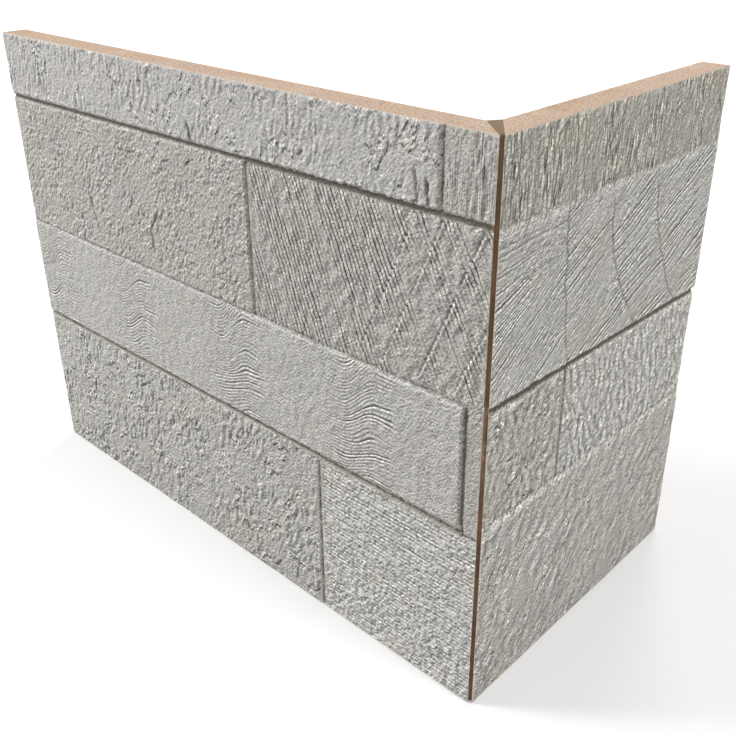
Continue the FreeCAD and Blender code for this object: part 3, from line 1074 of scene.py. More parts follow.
@dataclass
class Leaf:
    """One fired tile leaf: where it stands, its mitre, its bed joints, its stones and its grout."""

    name: str
    along: Triple
    inward: Triple
    length: float
    thickness: float
    mitre_angle: float
    setback: float
    beds: tuple[Bed, ...]
    blocks: tuple[Block, ...]
    grouts: tuple[Grout, ...]
    cell: float
    # Painted light and shade of the relief: gains for slopes facing and turned from the light, the slope
    # where it levels off, and where the light comes from.
    painted_light_gain: float = 1.2
    painted_shade_gain: float = 2.6
    painted_slope_limit: float = 0.32
    lit_left: float = 0.8
    lit_up: float = 0.6
    keys: KeyGrooves = KeyGrooves()

    def place(self, along: Array, up: Array, depth: Array) -> Array:
        """Work out points in metres: the corner, moved along, up and inward by millimetres.

        Args:
            along: Places along the leaf.
            up: Places up the leaf.
            depth: Places behind the outermost face.

        Returns:
            One point for each place, as an array whose last axis is x, y, z.
        """
        along, up, depth = np.broadcast_arrays(along, up, depth)
        spots = (
            along[..., None] * np.array(self.along)
            + depth[..., None] * np.array(self.inward)
            + up[..., None] * np.array([0.0, 0.0, 1.0])
        )
        return np.array(CORNER) + spots * MM

    @property
    def slope(self) -> float:
        """How far the mitre runs along the leaf for each millimetre of depth."""
        return math.tan(math.radians(self.mitre_angle))

    @property
    def height(self) -> float:
        """The height of the leaf's top in millimetres."""
        return self.beds[-1].at_corner

    def mitre(self, depth: Array) -> Array:
        """Return how far along the mitre lies at a depth: the setback and the depth times the slope."""
        return self.setback + np.asarray(depth) * self.slope

    def turns_left(self) -> bool:
        """Say whether along and up, in that order, turn to a normal that points out of the face."""
        normal = np.cross(self.along, (0.0, 0.0, 1.0))
        return float(np.dot(normal, self.inward)) < 0.0

    def surface(self, along: Array, up: Array) -> Pressed:
        """Work out the pressed face.

        Each stone has drafted walls that rise from the joint floor, and its face lies at its
        own depth less the relief of its dressing. The deeper of wall and face counts for a
        stone, the shallowest stone counts for the leaf, and nothing is deeper than the floor.
        Relief is calmed down towards the free end and the foot.

        Args:
            along: Places along the leaf.
            up: Places up the leaf.

        Returns:
            The pressed face at each place.
        """
        press = PRESSING
        draft = math.tan(math.radians(press.wall_draft))
        depth = press.relief + press.floor.over(along, up, 0)
        tint = np.empty(along.shape + (3,))
        tint[:] = Tint.JOINT.value
        for grout in self.grouts:
            depth, tint = grout.laid(along, up, self.length, depth, tint)
        wall = np.ones_like(along)
        marks = {word: np.zeros_like(along) for word in ("count", "strokes", "chips")}
        marks["sand"] = np.ones_like(along)
        for number, block in enumerate(self.blocks):
            inside = block.inside(along, up, self.length, number)
            near = inside > 0.0
            work = block.dressing.dressed(along[near], up[near])
            rim = np.minimum(self.length - along[near], up[near])
            below = block.high.height(along[near], self.length) - up[near]
            face = block.depth - work.relief * between(rim, -0.2, press.rim)
            face = face + block.roll_depth * (1.0 - between(below, 0.0, block.roll))
            here = np.maximum(np.maximum(press.relief - inside[near] / draft, face), 0.0)
            wins = here < depth[near]
            spots = np.flatnonzero(near)[wins]
            depth.flat[spots] = here[wins]
            down = ((here - face) / np.maximum(press.relief - face, 0.3))[wins]
            cut = np.broadcast_to(work.darkening, here.shape)[wins]
            # Places are drawn darker down the walls towards the joint floor and at the bottom of cuts.
            darkening = np.maximum(eased(down * press.wall_darkening - 0.1), cut)
            wall.flat[spots] = np.maximum(np.clip(here - face, 0.0, 0.2)[wins] / 0.2, 0.7 * darkening)
            for word, values in marks.items():
                values.flat[spots] = np.broadcast_to(getattr(work, word), here.shape)[wins]
            # Painted highlight on the rolled upper edge, as if lit from above.
            highlight_band = 1.0 + block.painted_highlight * (1.0 - between(below[wins], 0.6 * block.roll, block.roll))
            stone = highlight_band[:, None] * block.tint.value
            darkening = darkening[:, None]
            dark = blended(cut, Tint.JOINT, Tint.CUT)
            tint.reshape(-1, 3)[spots] = darkening * dark + (1.0 - darkening) * stone
        edge = np.minimum(np.minimum(up, self.height - up), self.length - along)
        nick = 0.25 + 0.35 * press.nicked.over(along, up, 0)
        depth = depth + nick * np.clip(1.0 - edge / 0.8, 0.0, 1.0) ** 2
        for word in ("strokes", "chips"):
            marks[word] = marks[word] * (1.0 - wall)
        return Pressed(depth, tint, wall, marks)

    def painted_relief_light(
        self, along: Array, up: Array, depth: Array, wall: Array
    ) -> Array:
        """Work out the painted light and shade that go into the face's colour.

        The colour is painted as though the relief were lit from the left and from above, as one
        looks at the face. A point is as much lighter as its face turns to that light: the
        exponential of the light's direction times the slope, with steep slopes held back and the
        walls of joints left out.

        Args:
            along: Places along the leaf.
            up: Places up the leaf.
            depth: Depth of the face at each place.
            wall: How far down a wall each place is, from 0 to 1.

        Returns:
            A factor of painted light and shade for the colour at each place.
        """
        left = 1.0 if self.turns_left() else -1.0
        across = np.gradient(depth, axis=1) / np.gradient(along, axis=1)
        rise = np.gradient(depth, axis=0) / np.gradient(up, axis=0)
        towards = self.lit_left * -left * across + self.lit_up * rise
        towards = np.tanh(towards / self.painted_slope_limit) * self.painted_slope_limit * (1.0 - wall)
        return np.exp(np.where(towards > 0.0, self.painted_light_gain, self.painted_shade_gain) * towards)


# Meshes


def add_mesh(
    name: str, points: Array, quads: Array, wide: list[Array], kinds: list[int]
) -> bpy.types.Object:
    """Make an object of quads and of flat faces with many corners.

    Args:
        name: The piece's name.
        points: Its vertices in metres.
        quads: Four vertex numbers for each quad. The first ones may be smooth and are told
            apart by the kinds.
        wide: The vertex numbers of each face with many corners.
        kinds: The material number of each face, quads first.

    Returns:
        The new object, linked to the scene.
    """
    mesh = bpy.data.meshes.new(name)
    counts = np.array([4] * len(quads) + [len(face) for face in wide])
    corners = np.concatenate([quads.ravel(), *wide]).astype(np.int32)
    mesh.vertices.add(len(points))
    mesh.vertices.foreach_set("co", points.astype(np.float32).ravel())
    mesh.loops.add(len(corners))
    mesh.loops.foreach_set("vertex_index", corners)
    mesh.polygons.add(len(counts))
    mesh.polygons.foreach_set("loop_start", np.concatenate([[0], np.cumsum(counts)[:-1]]).astype(np.int32))
    mesh.polygons.foreach_set("material_index", np.array(kinds, np.int32))
    mesh.polygons.foreach_set("use_smooth", np.array(kinds) == 0)
    mesh.update(calc_edges=True)
    mesh.validate()
    piece = bpy.data.objects.new(name, mesh)
    bpy.context.scene.collection.objects.link(piece)
    return piece


def closed_panel(
    name: str, front: Array, low_back: Array, high_back: Array, turns_left: bool
) -> bpy.types.Object:
    """Make a closed solid from a grid of points in front and two lines of points behind it.

    Walls join the grid's lowest and highest rows to the two lines, the two ends are closed by
    flat faces, and long quads between the two lines close the back.

    Args:
        name: The piece's name.
        front: Points by row and column, rows going up and columns going along.
        low_back: The points behind the lowest row.
        high_back: The points behind the highest row.
        turns_left: Whether along and up, in that order, turn to a normal out of the front.

    Returns:
        The new object. Its front faces have material 0 and the rest material 1.
    """
    rows, columns = front.shape[:2]
    index = np.arange(rows * columns).reshape(rows, columns)
    low = rows * columns + np.arange(columns)
    high = low + columns
    face = np.stack([index[:-1, :-1], index[:-1, 1:], index[1:, 1:], index[1:, :-1]], -1).reshape(-1, 4)
    below = np.stack([index[0, :-1], low[:-1], low[1:], index[0, 1:]], -1)
    above = np.stack([index[-1, 1:], high[1:], high[:-1], index[-1, :-1]], -1)
    behind = np.stack([low[:-1], high[:-1], high[1:], low[1:]], -1)
    near = np.concatenate([index[:, 0], [high[0], low[0]]])
    far = np.concatenate([index[::-1, -1], [low[-1], high[-1]]])
    quads = np.concatenate([face, below, above, behind])
    wide = [near, far]
    if not turns_left:
        quads = quads[:, ::-1]
        wide = [near[::-1], far[::-1]]
    kinds = [0] * len(face) + [1] * (len(quads) - len(face) + len(wide))
    points = np.concatenate([front.reshape(-1, 3), low_back, high_back])
    return add_mesh(name, points, quads, wide, kinds)


def set_values(piece: bpy.types.Object, name: str, values: Array) -> None:
    """Store one number for each vertex as a named attribute."""
    attribute = piece.data.attributes.new(name, "FLOAT", "POINT")
    attribute.data.foreach_set("value", values.astype(np.float32).ravel())


def set_colours(piece: bpy.types.Object, name: str, colours: Array) -> None:
    """Store one colour for each vertex as a named attribute.

    Args:
        piece: The object whose vertices are coloured.
        name: The attribute's name.
        colours: One row of three parts for each vertex.
    """
    attribute = piece.data.attributes.new(name, "FLOAT_COLOR", "POINT")
    full = np.concatenate([colours, np.ones((len(colours), 1))], axis=1)
    attribute.data.foreach_set("color", full.astype(np.float32).ravel())


# Shader trees


class NodeSheet:
    """A node tree being drawn up, with short calls for the nodes that the finishes use."""

    def __init__(self, tree: bpy.types.NodeTree) -> None:
        """Keep the tree, cleared of nodes."""
        self.tree = tree
        tree.nodes.clear()

    def add(self, kind: str, **settings: object) -> bpy.types.Node:
        """Add a node.

        Args:
            kind: The node's type, without ShaderNode in front.
            **settings: Its properties by name.

        Returns:
            The new node.
        """
        node = self.tree.nodes.new("ShaderNode" + kind)
        for name, value in settings.items():
            setattr(node, name, value)
        return node

    def feed(self, socket: Socket, value: object) -> None:
        """Link a socket to another one, or set it to a plain value.

        Args:
            socket: The input to be fed.
            value: A socket to link, a number, or a colour or vector of three numbers.
        """
        if isinstance(value, Socket):
            self.tree.links.new(value, socket)
        elif isinstance(value, tuple) and len(value) + 1 == len(socket.default_value):
            socket.default_value = (*value, 1.0)
        else:
            socket.default_value = value

    def fed(self, kind: str, sockets: dict[int | str, object], **settings: object) -> bpy.types.Node:
        """Add a node and feed its inputs.

        Args:
            kind: The node's type, without ShaderNode in front.
            sockets: What each input gets, by its name or number.
            **settings: Its properties by name.

        Returns:
            The new node.
        """
        node = self.add(kind, **settings)
        for name, value in sockets.items():
            self.feed(node.inputs[name], value)
        return node

    def math(self, operation: str, first: object, second: object = 0.0) -> Socket:
        """Return the result of a maths operation on two numbers."""
        return self.fed("Math", {0: first, 1: second}, operation=operation).outputs[0]

    def ranged(
        self, value: object, low: float, high: float, start: float = 0.0, end: float = 1.0
    ) -> Socket:
        """Return a number eased from one range to another, and clamped."""
        numbers = dict(enumerate((value, low, high, start, end)))
        return self.fed("MapRange", numbers, interpolation_type="SMOOTHSTEP").outputs[0]

    def noise(
        self, vector: object, scale: object, detail: float = 2.0, rough: float = 0.5
    ) -> Socket:
        """Return the value of a noise texture."""
        fed = {"Vector": vector, "Scale": scale, "Detail": detail, "Roughness": rough}
        return self.fed("TexNoise", fed).outputs["Fac"]

    def mix(
        self, factor: object, first: object, second: object, blend: str = "MIX"
    ) -> Socket:
        """Return two colours mixed by a factor."""
        fed = {"Factor": factor, 6: first, 7: second}
        return self.fed("Mix", fed, data_type="RGBA", blend_type=blend).outputs[2]

    def scaled(self, colour: object, factor: object) -> Socket:
        """Return a colour times a number."""
        return self.fed("VectorMath", {0: colour, "Scale": factor}, operation="SCALE").outputs[0]

    def shifted(self, vector: object, shift: object) -> Socket:
        """Return a vector plus another one."""
        return self.fed("VectorMath", {0: vector, 1: shift}, operation="ADD").outputs[0]

    def mapped(self, vector: object, **changes: Triple) -> Socket:
        """Return a vector with a Location, Rotation in radians or Scale applied."""
        return self.fed("Mapping", {"Vector": vector, **changes}).outputs[0]


class Ware(Enum):
    """The groups of nodes that the finishes share."""

    EMBOSS = "embossed_grain"
    RIMS = "chipped_rims"
    STROKES = "tool_strokes"
    GRAIN = "mineral_grain"
    CLOUDS = "fired_clouds"


class GroupSheet(NodeSheet):
    """A shared group of nodes being drawn up, with its named inputs and outputs."""

    def __init__(self, ware: Ware, inputs: dict[str, str], outputs: dict[str, str]) -> None:
        """Start the group.

        Args:
            ware: Which group it is.
            inputs: The kind of each input by its name: Vector, Float or Color.
            outputs: The kind of each output by its name.
        """
        super().__init__(bpy.data.node_groups.new(ware.value, "ShaderNodeTree"))
        for way, sockets in (("INPUT", inputs), ("OUTPUT", outputs)):
            for name, kind in sockets.items():
                self.tree.interface.new_socket(name, in_out=way, socket_type="NodeSocket" + kind)
        self.given = self.tree.nodes.new("NodeGroupInput").outputs
        self.out = self.tree.nodes.new("NodeGroupOutput").inputs


def grain_group() -> None:
    """Build the mineral grain: a fine height, a slow mottle and sparse specks over object places.

    Its inputs are the place and the count of grains per metre.
    """
    outputs = {"Height": "Float", "Mottle": "Float", "Speck": "Float"}
    sheet = GroupSheet(Ware.GRAIN, {"Place": "Vector", "Grains": "Float"}, outputs)
    place, grains = sheet.given["Place"], sheet.given["Grains"]
    sheet.feed(sheet.out["Height"], sheet.noise(place, grains, 4.0, 0.65))
    mottle = sheet.noise(place, sheet.math("MULTIPLY", grains, 0.12), 3.0, 0.55)
    sheet.feed(sheet.out["Mottle"], mottle)
    specks = sheet.noise(place, sheet.math("MULTIPLY", grains, 0.45), 1.0, 0.5)
    sheet.feed(sheet.out["Speck"], sheet.ranged(specks, 0.66, 0.76))


def emboss_group() -> None:
    """Build the embossed grain: a height, and the painted light and shade on it from the side of a short
    shift.

    The painted light is the height here less the height a shift away, so a slope that faces the
    shift is light and the one behind it dark. Its inputs are the place and the shift.
    """
    inputs = {"Place": "Vector", "Shift": "Vector"}
    sheet = GroupSheet(Ware.EMBOSS, inputs, {"Height": "Float", "Light": "Float"})
    moved = sheet.shifted(sheet.given["Place"], sheet.given["Shift"])
    here, away = (sheet.noise(place, 1.0, 3.0, 0.7) for place in (sheet.given["Place"], moved))
    sheet.feed(sheet.out["Height"], here)
    sheet.feed(sheet.out["Light"], sheet.math("SUBTRACT", here, away))


def rims_group() -> None:
    """Build the chipped rims: a factor for the colour, with crisp painted highlights and painted shade on
    edges round flakes.

    Noise is pressed flat above and below, and the same a short shift away is taken off it, so
    only the edges between the flats stay: painted highlights where they face the shift, and
    painted shade behind. Its inputs are the place, the shift and the strength.
    """
    inputs = {"Place": "Vector", "Shift": "Vector", "Strength": "Float"}
    sheet = GroupSheet(Ware.RIMS, inputs, {"Light": "Float"})
    moved = sheet.shifted(sheet.given["Place"], sheet.given["Shift"])
    here, away = (
        sheet.ranged(sheet.noise(place, 1.0, 2.0, 0.55), 0.5, 0.56)
        for place in (sheet.given["Place"], moved)
    )
    edge = sheet.math("SUBTRACT", here, away)
    light = sheet.math("MULTIPLY", sheet.math("MAXIMUM", edge, 0.0), 0.26)
    dark = sheet.math("MULTIPLY", sheet.math("MINIMUM", edge, 0.0), 0.42)
    both = sheet.math("MULTIPLY", sheet.math("ADD", light, dark), sheet.given["Strength"])
    sheet.feed(sheet.out["Light"], sheet.math("ADD", 1.0, both))


def strokes_group() -> None:
    """Build the crisp tool strokes: a factor for the colour from a count, a strength and a highlight's
    share.

    A dark line, partly the stroke's mark and partly painted shade in its groove, lies at each
    whole count, and a painted highlight on its lit side just before it.
    """
    inputs = {"Count": "Float", "Strength": "Float", "Lip": "Float"}
    sheet = GroupSheet(Ware.STROKES, inputs, {"Light": "Float"})
    count = sheet.given["Count"]
    away = sheet.math("SUBTRACT", count, sheet.math("ROUND", count))
    dark = sheet.ranged(sheet.math("ABSOLUTE", away), 0.05, 0.26, 1.0, 0.0)
    beside = sheet.math("ABSOLUTE", sheet.math("ADD", away, 0.32))
    lip = sheet.math("MULTIPLY", sheet.ranged(beside, 0.02, 0.24, 1.0, 0.0), sheet.given["Lip"])
    both = sheet.math("SUBTRACT", lip, sheet.math("MULTIPLY", dark, 0.5))
    both = sheet.math("MULTIPLY", both, sheet.given["Strength"])
    sheet.feed(sheet.out["Light"], sheet.math("MAXIMUM", sheet.math("ADD", 1.0, both), 0.25))


def clouds_group() -> None:
    """Build the slow warm and cool clouds of a fired colour.

    Its inputs are the place, the count of clouds per metre, the colour and its two shades.
    """
    inputs = {"Place": "Vector", "Clouds": "Float", "Colour": "Color", "Warm": "Color", "Cool": "Color"}
    sheet = GroupSheet(Ware.CLOUDS, inputs, {"Colour": "Color"})
    place, clouds = sheet.given["Place"], sheet.given["Clouds"]
    warm = sheet.ranged(sheet.noise(place, clouds, 3.0, 0.6), 0.45, 0.75)
    elsewhere = sheet.mapped(place, Location=(0.37, 0.81, 0.53))
    cool = sheet.ranged(sheet.noise(elsewhere, clouds, 3.0, 0.6), 0.48, 0.78)
    tinted = sheet.mix(warm, sheet.given["Colour"], sheet.given["Warm"])
    sheet.feed(sheet.out["Colour"], sheet.mix(cool, tinted, sheet.given["Cool"]))


class FinishSheet(NodeSheet):
    """The node tree of a material with a Principled shader, drawn up over object places."""

    def __init__(self, name: str) -> None:
        """Start the material."""
        self.material = bpy.data.materials.new(name)
        self.material.use_nodes = True
        super().__init__(self.material.node_tree)
        self.shader = self.add("BsdfPrincipled")
        self.fed("OutputMaterial", {"Surface": self.shader.outputs[0]})
        self.place = self.add("TexCoord").outputs["Object"]

    def attribute(self, name: str, output: str = "Fac") -> Socket:
        """Return a named attribute of the vertices, as a number or as Color."""
        return self.add("Attribute", attribute_name=name).outputs[output]

    def shared(self, ware: Ware, **values: object) -> bpy.types.bpy_prop_collection:
        """Place a shared group, with its inputs linked or set, and return its outputs."""
        return self.fed("Group", values, node_tree=bpy.data.node_groups[ware.value]).outputs

    def finished(
        self, colour: object, rough: object, shine: float, height: object, bump: float, reach: float
    ) -> bpy.types.Material:
        """Feed the shader and hand the material over.

        Args:
            colour: The base colour.
            rough: The roughness.
            shine: The specular level.
            height: The height of the finest relief.
            bump: How strong the bump of that relief is.
            reach: What a height of 1 stands for, in metres.

        Returns:
            The material.
        """
        normal = self.fed("Bump", {"Strength": bump, "Distance": reach, "Height": height}).outputs[0]
        for name, value in (
            ("Base Color", colour),
            ("Roughness", rough),
            ("Specular IOR Level", shine),
            ("Normal", normal),
        ):
            self.feed(self.shader.inputs[name], value)
        return self.material


@dataclass(frozen=True)
class StoneFinish:
    """The printed and fired stone look of a pressed face, whose grain leans in the face's own plane."""

    name: str
    lean: Triple
    lit_from: Triple
    grains: float = 1500.0
    clouds: float = 38.0
    grain_width: float = 0.00105
    grain_stretch: float = 1.6
    chip_width: float = 0.0042
    # Strength of the painted light and shade on the fine grain.
    painted_grain_light: float = 0.54
    # Share of the painted highlight beside each tool stroke.
    stroke_highlight: float = 0.36
    warm_shift: Triple = (1.02, 0.99, 0.955)
    cool_shift: Triple = (0.975, 0.985, 0.995)
    # How much the painted shade darkens hollows and the painted highlight lightens crests.
    dark: float = 0.4
    light: float = 1.3
    speck: Triple = linear(96, 92, 80)
    worn: Triple = linear(222, 205, 186)

    def material(self) -> bpy.types.Material:
        """Draw up the material: tint from the vertices with the relief's painted light and shade, painted
        shade in hollows, painted highlights on crests, specks, and grain with painted light and shade.

        Returns:
            The material.
        """
        sheet = FinishSheet(self.name)
        place, tint = sheet.place, sheet.attribute("tint", "Color")
        hollow, bare, count, strokes, chips, sand = (
            sheet.attribute(word) for word in ("hollow", "bare", "count", "strokes", "chips", "sand")
        )
        grain = sheet.shared(Ware.GRAIN, Place=place, Grains=self.grains)
        warm = sheet.mix(1.0, tint, self.warm_shift, "MULTIPLY")
        cool = sheet.mix(1.0, tint, self.cool_shift, "MULTIPLY")
        clouded = sheet.shared(
            Ware.CLOUDS, Place=place, Clouds=self.clouds, Colour=tint, Warm=warm, Cool=cool
        )
        colour = clouded["Colour"]
        # Painted shade in hollows and painted highlights on crests, from the hollow attribute.
        deep = sheet.mix(1.0, colour, (self.dark,) * 3, "MULTIPLY")
        painted_highlight = sheet.mix(1.0, colour, (self.light,) * 3, "MULTIPLY")
        colour = sheet.mix(sheet.ranged(hollow, 0.0, 0.42), colour, deep)
        colour = sheet.mix(sheet.ranged(hollow, 0.0, -0.4), colour, painted_highlight)
        fine, chip = 1.0 / self.grain_width, 1.0 / self.chip_width
        turned = sheet.mapped(place, Rotation=self.lean)
        leaning = sheet.mapped(turned, Scale=(fine, fine, fine / self.grain_stretch))
        # Painted light and shade of the fine grain, as lit from the side of the shift.
        emboss = sheet.shared(Ware.EMBOSS, Place=leaning, Shift=self.lit_from)
        contrast = sheet.math("MULTIPLY", sand, self.painted_grain_light)
        light = sheet.ranged(emboss["Light"], -0.22, 0.22, -1.0, 1.0)
        light = sheet.math("ADD", 1.0, sheet.math("MULTIPLY", light, contrast))
        broad = sheet.mapped(turned, Scale=(chip, chip, chip / self.grain_stretch))
        near_shift = tuple(0.75 * part for part in self.lit_from)
        # Painted highlights and shade on the rims of chips.
        rims = sheet.shared(Ware.RIMS, Place=broad, Shift=near_shift, Strength=chips)
        # Painted shade and highlights of the tool strokes.
        lines = sheet.shared(Ware.STROKES, Count=count, Strength=strokes, Lip=self.stroke_highlight)
        flecks = sheet.ranged(grain["Height"], 0.36, 0.64, 0.84, 1.14)
        for factor in (light, rims["Light"], lines["Light"], flecks):
            colour = sheet.scaled(colour, factor)
        colour = sheet.mix(sheet.math("MULTIPLY", grain["Speck"], 0.3), colour, self.speck)
        colour = sheet.mix(bare, colour, self.worn)
        rough = sheet.ranged(grain["Mottle"], 0.3, 0.7, 0.78, 0.92)
        return sheet.finished(colour, rough, 0.35, emboss["Height"], 0.6, 0.0006)


@dataclass(frozen=True)
class ClayFinish:
    """The bare fired clay of the edges, the mitres and the back."""

    grains: float = 750.0
    clouds: float = 30.0
    colour: Triple = linear(208, 181, 158)
    warm: Triple = linear(200, 169, 142)
    cool: Triple = linear(216, 193, 172)
    speck: Triple = linear(150, 112, 82)

    def material(self) -> bpy.types.Material:
        """Draw up the material: peach clay with clouds, fine pores and dark specks.

        Returns:
            The material.
        """
        sheet = FinishSheet("fired_clay")
        grain = sheet.shared(Ware.GRAIN, Place=sheet.place, Grains=self.grains)
        shades = {"Colour": self.colour, "Warm": self.warm, "Cool": self.cool}
        clouded = sheet.shared(Ware.CLOUDS, Place=sheet.place, Clouds=self.clouds, **shades)
        flecks = sheet.ranged(grain["Height"], 0.38, 0.62, 0.76, 1.18)
        colour = sheet.scaled(clouded["Colour"], flecks)
        colour = sheet.mix(sheet.math("MULTIPLY", grain["Speck"], 0.6), colour, self.speck)
        rough = sheet.ranged(grain["Mottle"], 0.3, 0.7, 0.82, 0.95)
        return sheet.finished(colour, rough, 0.3, grain["Height"], 0.5, 0.0004)


@dataclass(frozen=True)
class ResinFinish:
    """The dark resin that fills the joint of the mitres."""

    grains: float = 900.0
    streaks: float = 700.0
    dark: Triple = linear(121, 98, 77)
    light: Triple = linear(143, 118, 95)
    speck: Triple = linear(166, 138, 110)
    # The paler colour of the sawn ends: partly the cut surface, partly painted light falling on the top.
    sawn: Triple = linear(136, 114, 89)

    def material(self) -> bpy.types.Material:
        """Draw up the material: dark brown, a little glossy, streaked upright and paler where cut.

        Returns:
            The material.
        """
        sheet = FinishSheet("joint_resin")
        cut = sheet.attribute("cut")
        grain = sheet.shared(Ware.GRAIN, Place=sheet.place, Grains=self.grains)
        upright_place = sheet.mapped(sheet.place, Scale=(1.0, 1.0, 0.08))
        streaks = sheet.ranged(sheet.noise(upright_place, self.streaks, 3.0, 0.6), 0.35, 0.65)
        colour = sheet.mix(streaks, self.dark, self.light)
        colour = sheet.mix(sheet.math("MULTIPLY", grain["Speck"], 0.5), colour, self.speck)
        colour = sheet.mix(cut, colour, self.sawn)
        smooth = sheet.ranged(grain["Mottle"], 0.3, 0.7, 0.42, 0.6)
        rough = sheet.math("ADD", smooth, sheet.math("MULTIPLY", cut, 0.35))
        return sheet.finished(colour, rough, 0.2, grain["Height"], 0.25, 0.0004)


# Sub-assemblies


@dataclass
class PressedLeaf:
    """A leaf's pieces: one pressed course after another, and the body behind them."""

    leaf: Leaf
    stone: bpy.types.Material
    clay: bpy.types.Material
    margin: int = 8
    # How far round a place the hollows for painted shade are measured.
    cavity_shade_reach: float = 1.6
    wear: Waves = Waves(1.7, 1.7, 12, 0.25)

    def build(self) -> list[bpy.types.Object]:
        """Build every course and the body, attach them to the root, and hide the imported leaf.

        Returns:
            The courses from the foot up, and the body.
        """
        pieces = [self.course(number) for number in range(len(self.leaf.beds) - 1)]
        pieces.append(self.body())
        for piece in pieces:
            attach(piece, "root")
            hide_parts(self.leaf.name)
        return pieces

    def stations(self, cell: float) -> Array:
        """Return shares from 0 to 1 along the leaf, a cell apart."""
        return np.linspace(0.0, 1.0, int(round(self.leaf.length / cell)) + 1)

    def course(self, number: int) -> bpy.types.Object:
        """Build the course between two beds.

        Rows run from the lower bed to the upper one, and columns from the mitre to the free end.
        A row starts on the mitre plane at the depth that the face has there, or at the foot of
        the arris where that is deeper. A margin of rows beyond both beds is worked out with them,
        so that hollows are told apart right up to the beds, and is then dropped.

        Args:
            number: The course's number, from the foot up.

        Returns:
            The course as a closed piece.
        """
        leaf = self.leaf
        press = PRESSING
        low, high = leaf.beds[number], leaf.beds[number + 1]
        count = int(round((high.at_corner - low.at_corner) / leaf.cell))
        shares = np.arange(-self.margin, count + self.margin + 1)[:, None] / count
        along_shares = self.stations(leaf.cell)[None, :]
        first = np.full_like(shares, leaf.mitre(press.arris))
        for _ in range(2):
            up = self.rows(low, high, first, shares)
            face = leaf.surface(first, up).depth
            first = leaf.mitre(np.clip(face, press.arris, press.relief))
        along = first + (leaf.length - first) * along_shares
        up = self.rows(low, high, along, shares)
        pressed = leaf.surface(along, up)
        tip = leaf.mitre(press.arris)
        depth = np.maximum(pressed.depth, press.arris - (along - tip))
        depth[:, :1] = (first - leaf.setback) / leaf.slope
        tint = np.stack([softened(pressed.tint[..., part], 1) for part in range(3)], axis=-1)
        # Painted light and shade of the relief, multiplied into the colour.
        tint = tint * leaf.painted_relief_light(along, up, depth, pressed.wall)[..., None]
        # Painted shade in hollows and painted highlight on crests: how much deeper each place lies than its
        # surroundings.
        reach = int(round(self.cavity_shade_reach / leaf.cell))
        small = softened(depth, 1)
        hollow = small - softened(depth, reach) + 0.6 * (depth - small)
        edge = np.minimum(along - first, leaf.length - along)
        edge = np.minimum(edge, np.minimum(up, leaf.height - up))
        bare = 1.0 - between(edge + self.wear.over(along, up, 0), 0.05, 0.55)
        kept = slice(self.margin, self.margin + count + 1)
        along, up, depth = along[kept], up[kept], depth[kept]
        back_first = float(leaf.mitre(press.skin))
        back = back_first + (leaf.length - back_first) * along_shares[0]
        lines = [
            leaf.place(back, bed.height(back, leaf.length), press.skin) for bed in (low, high)
        ]
        name = f"{leaf.name}_course_{number + 1}"
        front = leaf.place(along, up, depth)
        piece = closed_panel(name, front, *lines, leaf.turns_left())
        rest = len(piece.data.vertices) - along.size
        for word, values in {"hollow": hollow, "bare": bare, **pressed.marks}.items():
            behind = np.full(rest, 1.0 if word == "bare" else 0.0)
            set_values(piece, word, np.concatenate([values[kept].ravel(), behind]))
        colours = np.concatenate([tint[kept].reshape(-1, 3), np.ones((rest, 3))])
        set_colours(piece, "tint", colours)
        piece.data.materials.append(self.stone)
        piece.data.materials.append(self.clay)
        return piece

    def rows(self, low: Bed, high: Bed, along: Array, shares: Array) -> Array:
        """Return heights at shares of the way from the lower bed to the upper one."""
        foot = low.height(along, self.leaf.length)
        return foot + (high.height(along, self.leaf.length) - foot) * shares

    def body(self) -> bpy.types.Object:
        """Build the body behind the courses, with keying grooves across its back.

        The back is a grid whose depth is the leaf's thickness less the groove's depth where a
        groove runs. Its flanks are eased, and it runs out before the mitre.

        Returns:
            The body as a closed piece.
        """
        leaf = self.leaf
        keys, height, skin = leaf.keys, leaf.height, PRESSING.skin
        count = int((height - keys.width) / keys.pitch)
        margin = (height - (count - 1) * keys.pitch) / 2.0
        middles = margin + keys.pitch * np.arange(count)
        half = keys.width / 2.0
        flank = half - keys.flank * np.linspace(-0.2, 1.2, 8)
        offsets = np.concatenate([-flank, [0.0], flank[::-1]])
        up = np.unique(np.concatenate([[0.0, height], (middles[:, None] + offsets).ravel()]))
        inner = float(leaf.mitre(leaf.thickness))
        start = inner + keys.stop
        ramp = start + np.linspace(0.0, keys.run_out, 6)
        long_run = np.linspace(start + keys.run_out, leaf.length, 70)[1:]
        back = np.concatenate([[inner], ramp, long_run])
        away = np.abs(up[:, None] - middles[None, :]).min(axis=1)
        groove = between(half - away, 0.0, keys.flank)[:, None]
        run = between(back, start, start + keys.run_out)[None, :]
        drag = keys.drag.over(*np.meshgrid(back, up), 0) * between(back, inner + 1.0, start)
        depth = leaf.thickness - keys.depth * groove * run - np.maximum(drag, 0.0)
        depth[:, 0] = leaf.thickness
        front = leaf.place(back[None, :], up[:, None], depth)
        base_first = float(leaf.mitre(skin))
        base = base_first + (back - inner) * (leaf.length - base_first) / (leaf.length - inner)
        lines = (leaf.place(base, 0.0, skin), leaf.place(base, height, skin))
        piece = closed_panel(f"{leaf.name}_body", front, *lines, not leaf.turns_left())
        piece.data.materials.append(self.clay)
        piece.data.materials.append(self.clay)
        return piece


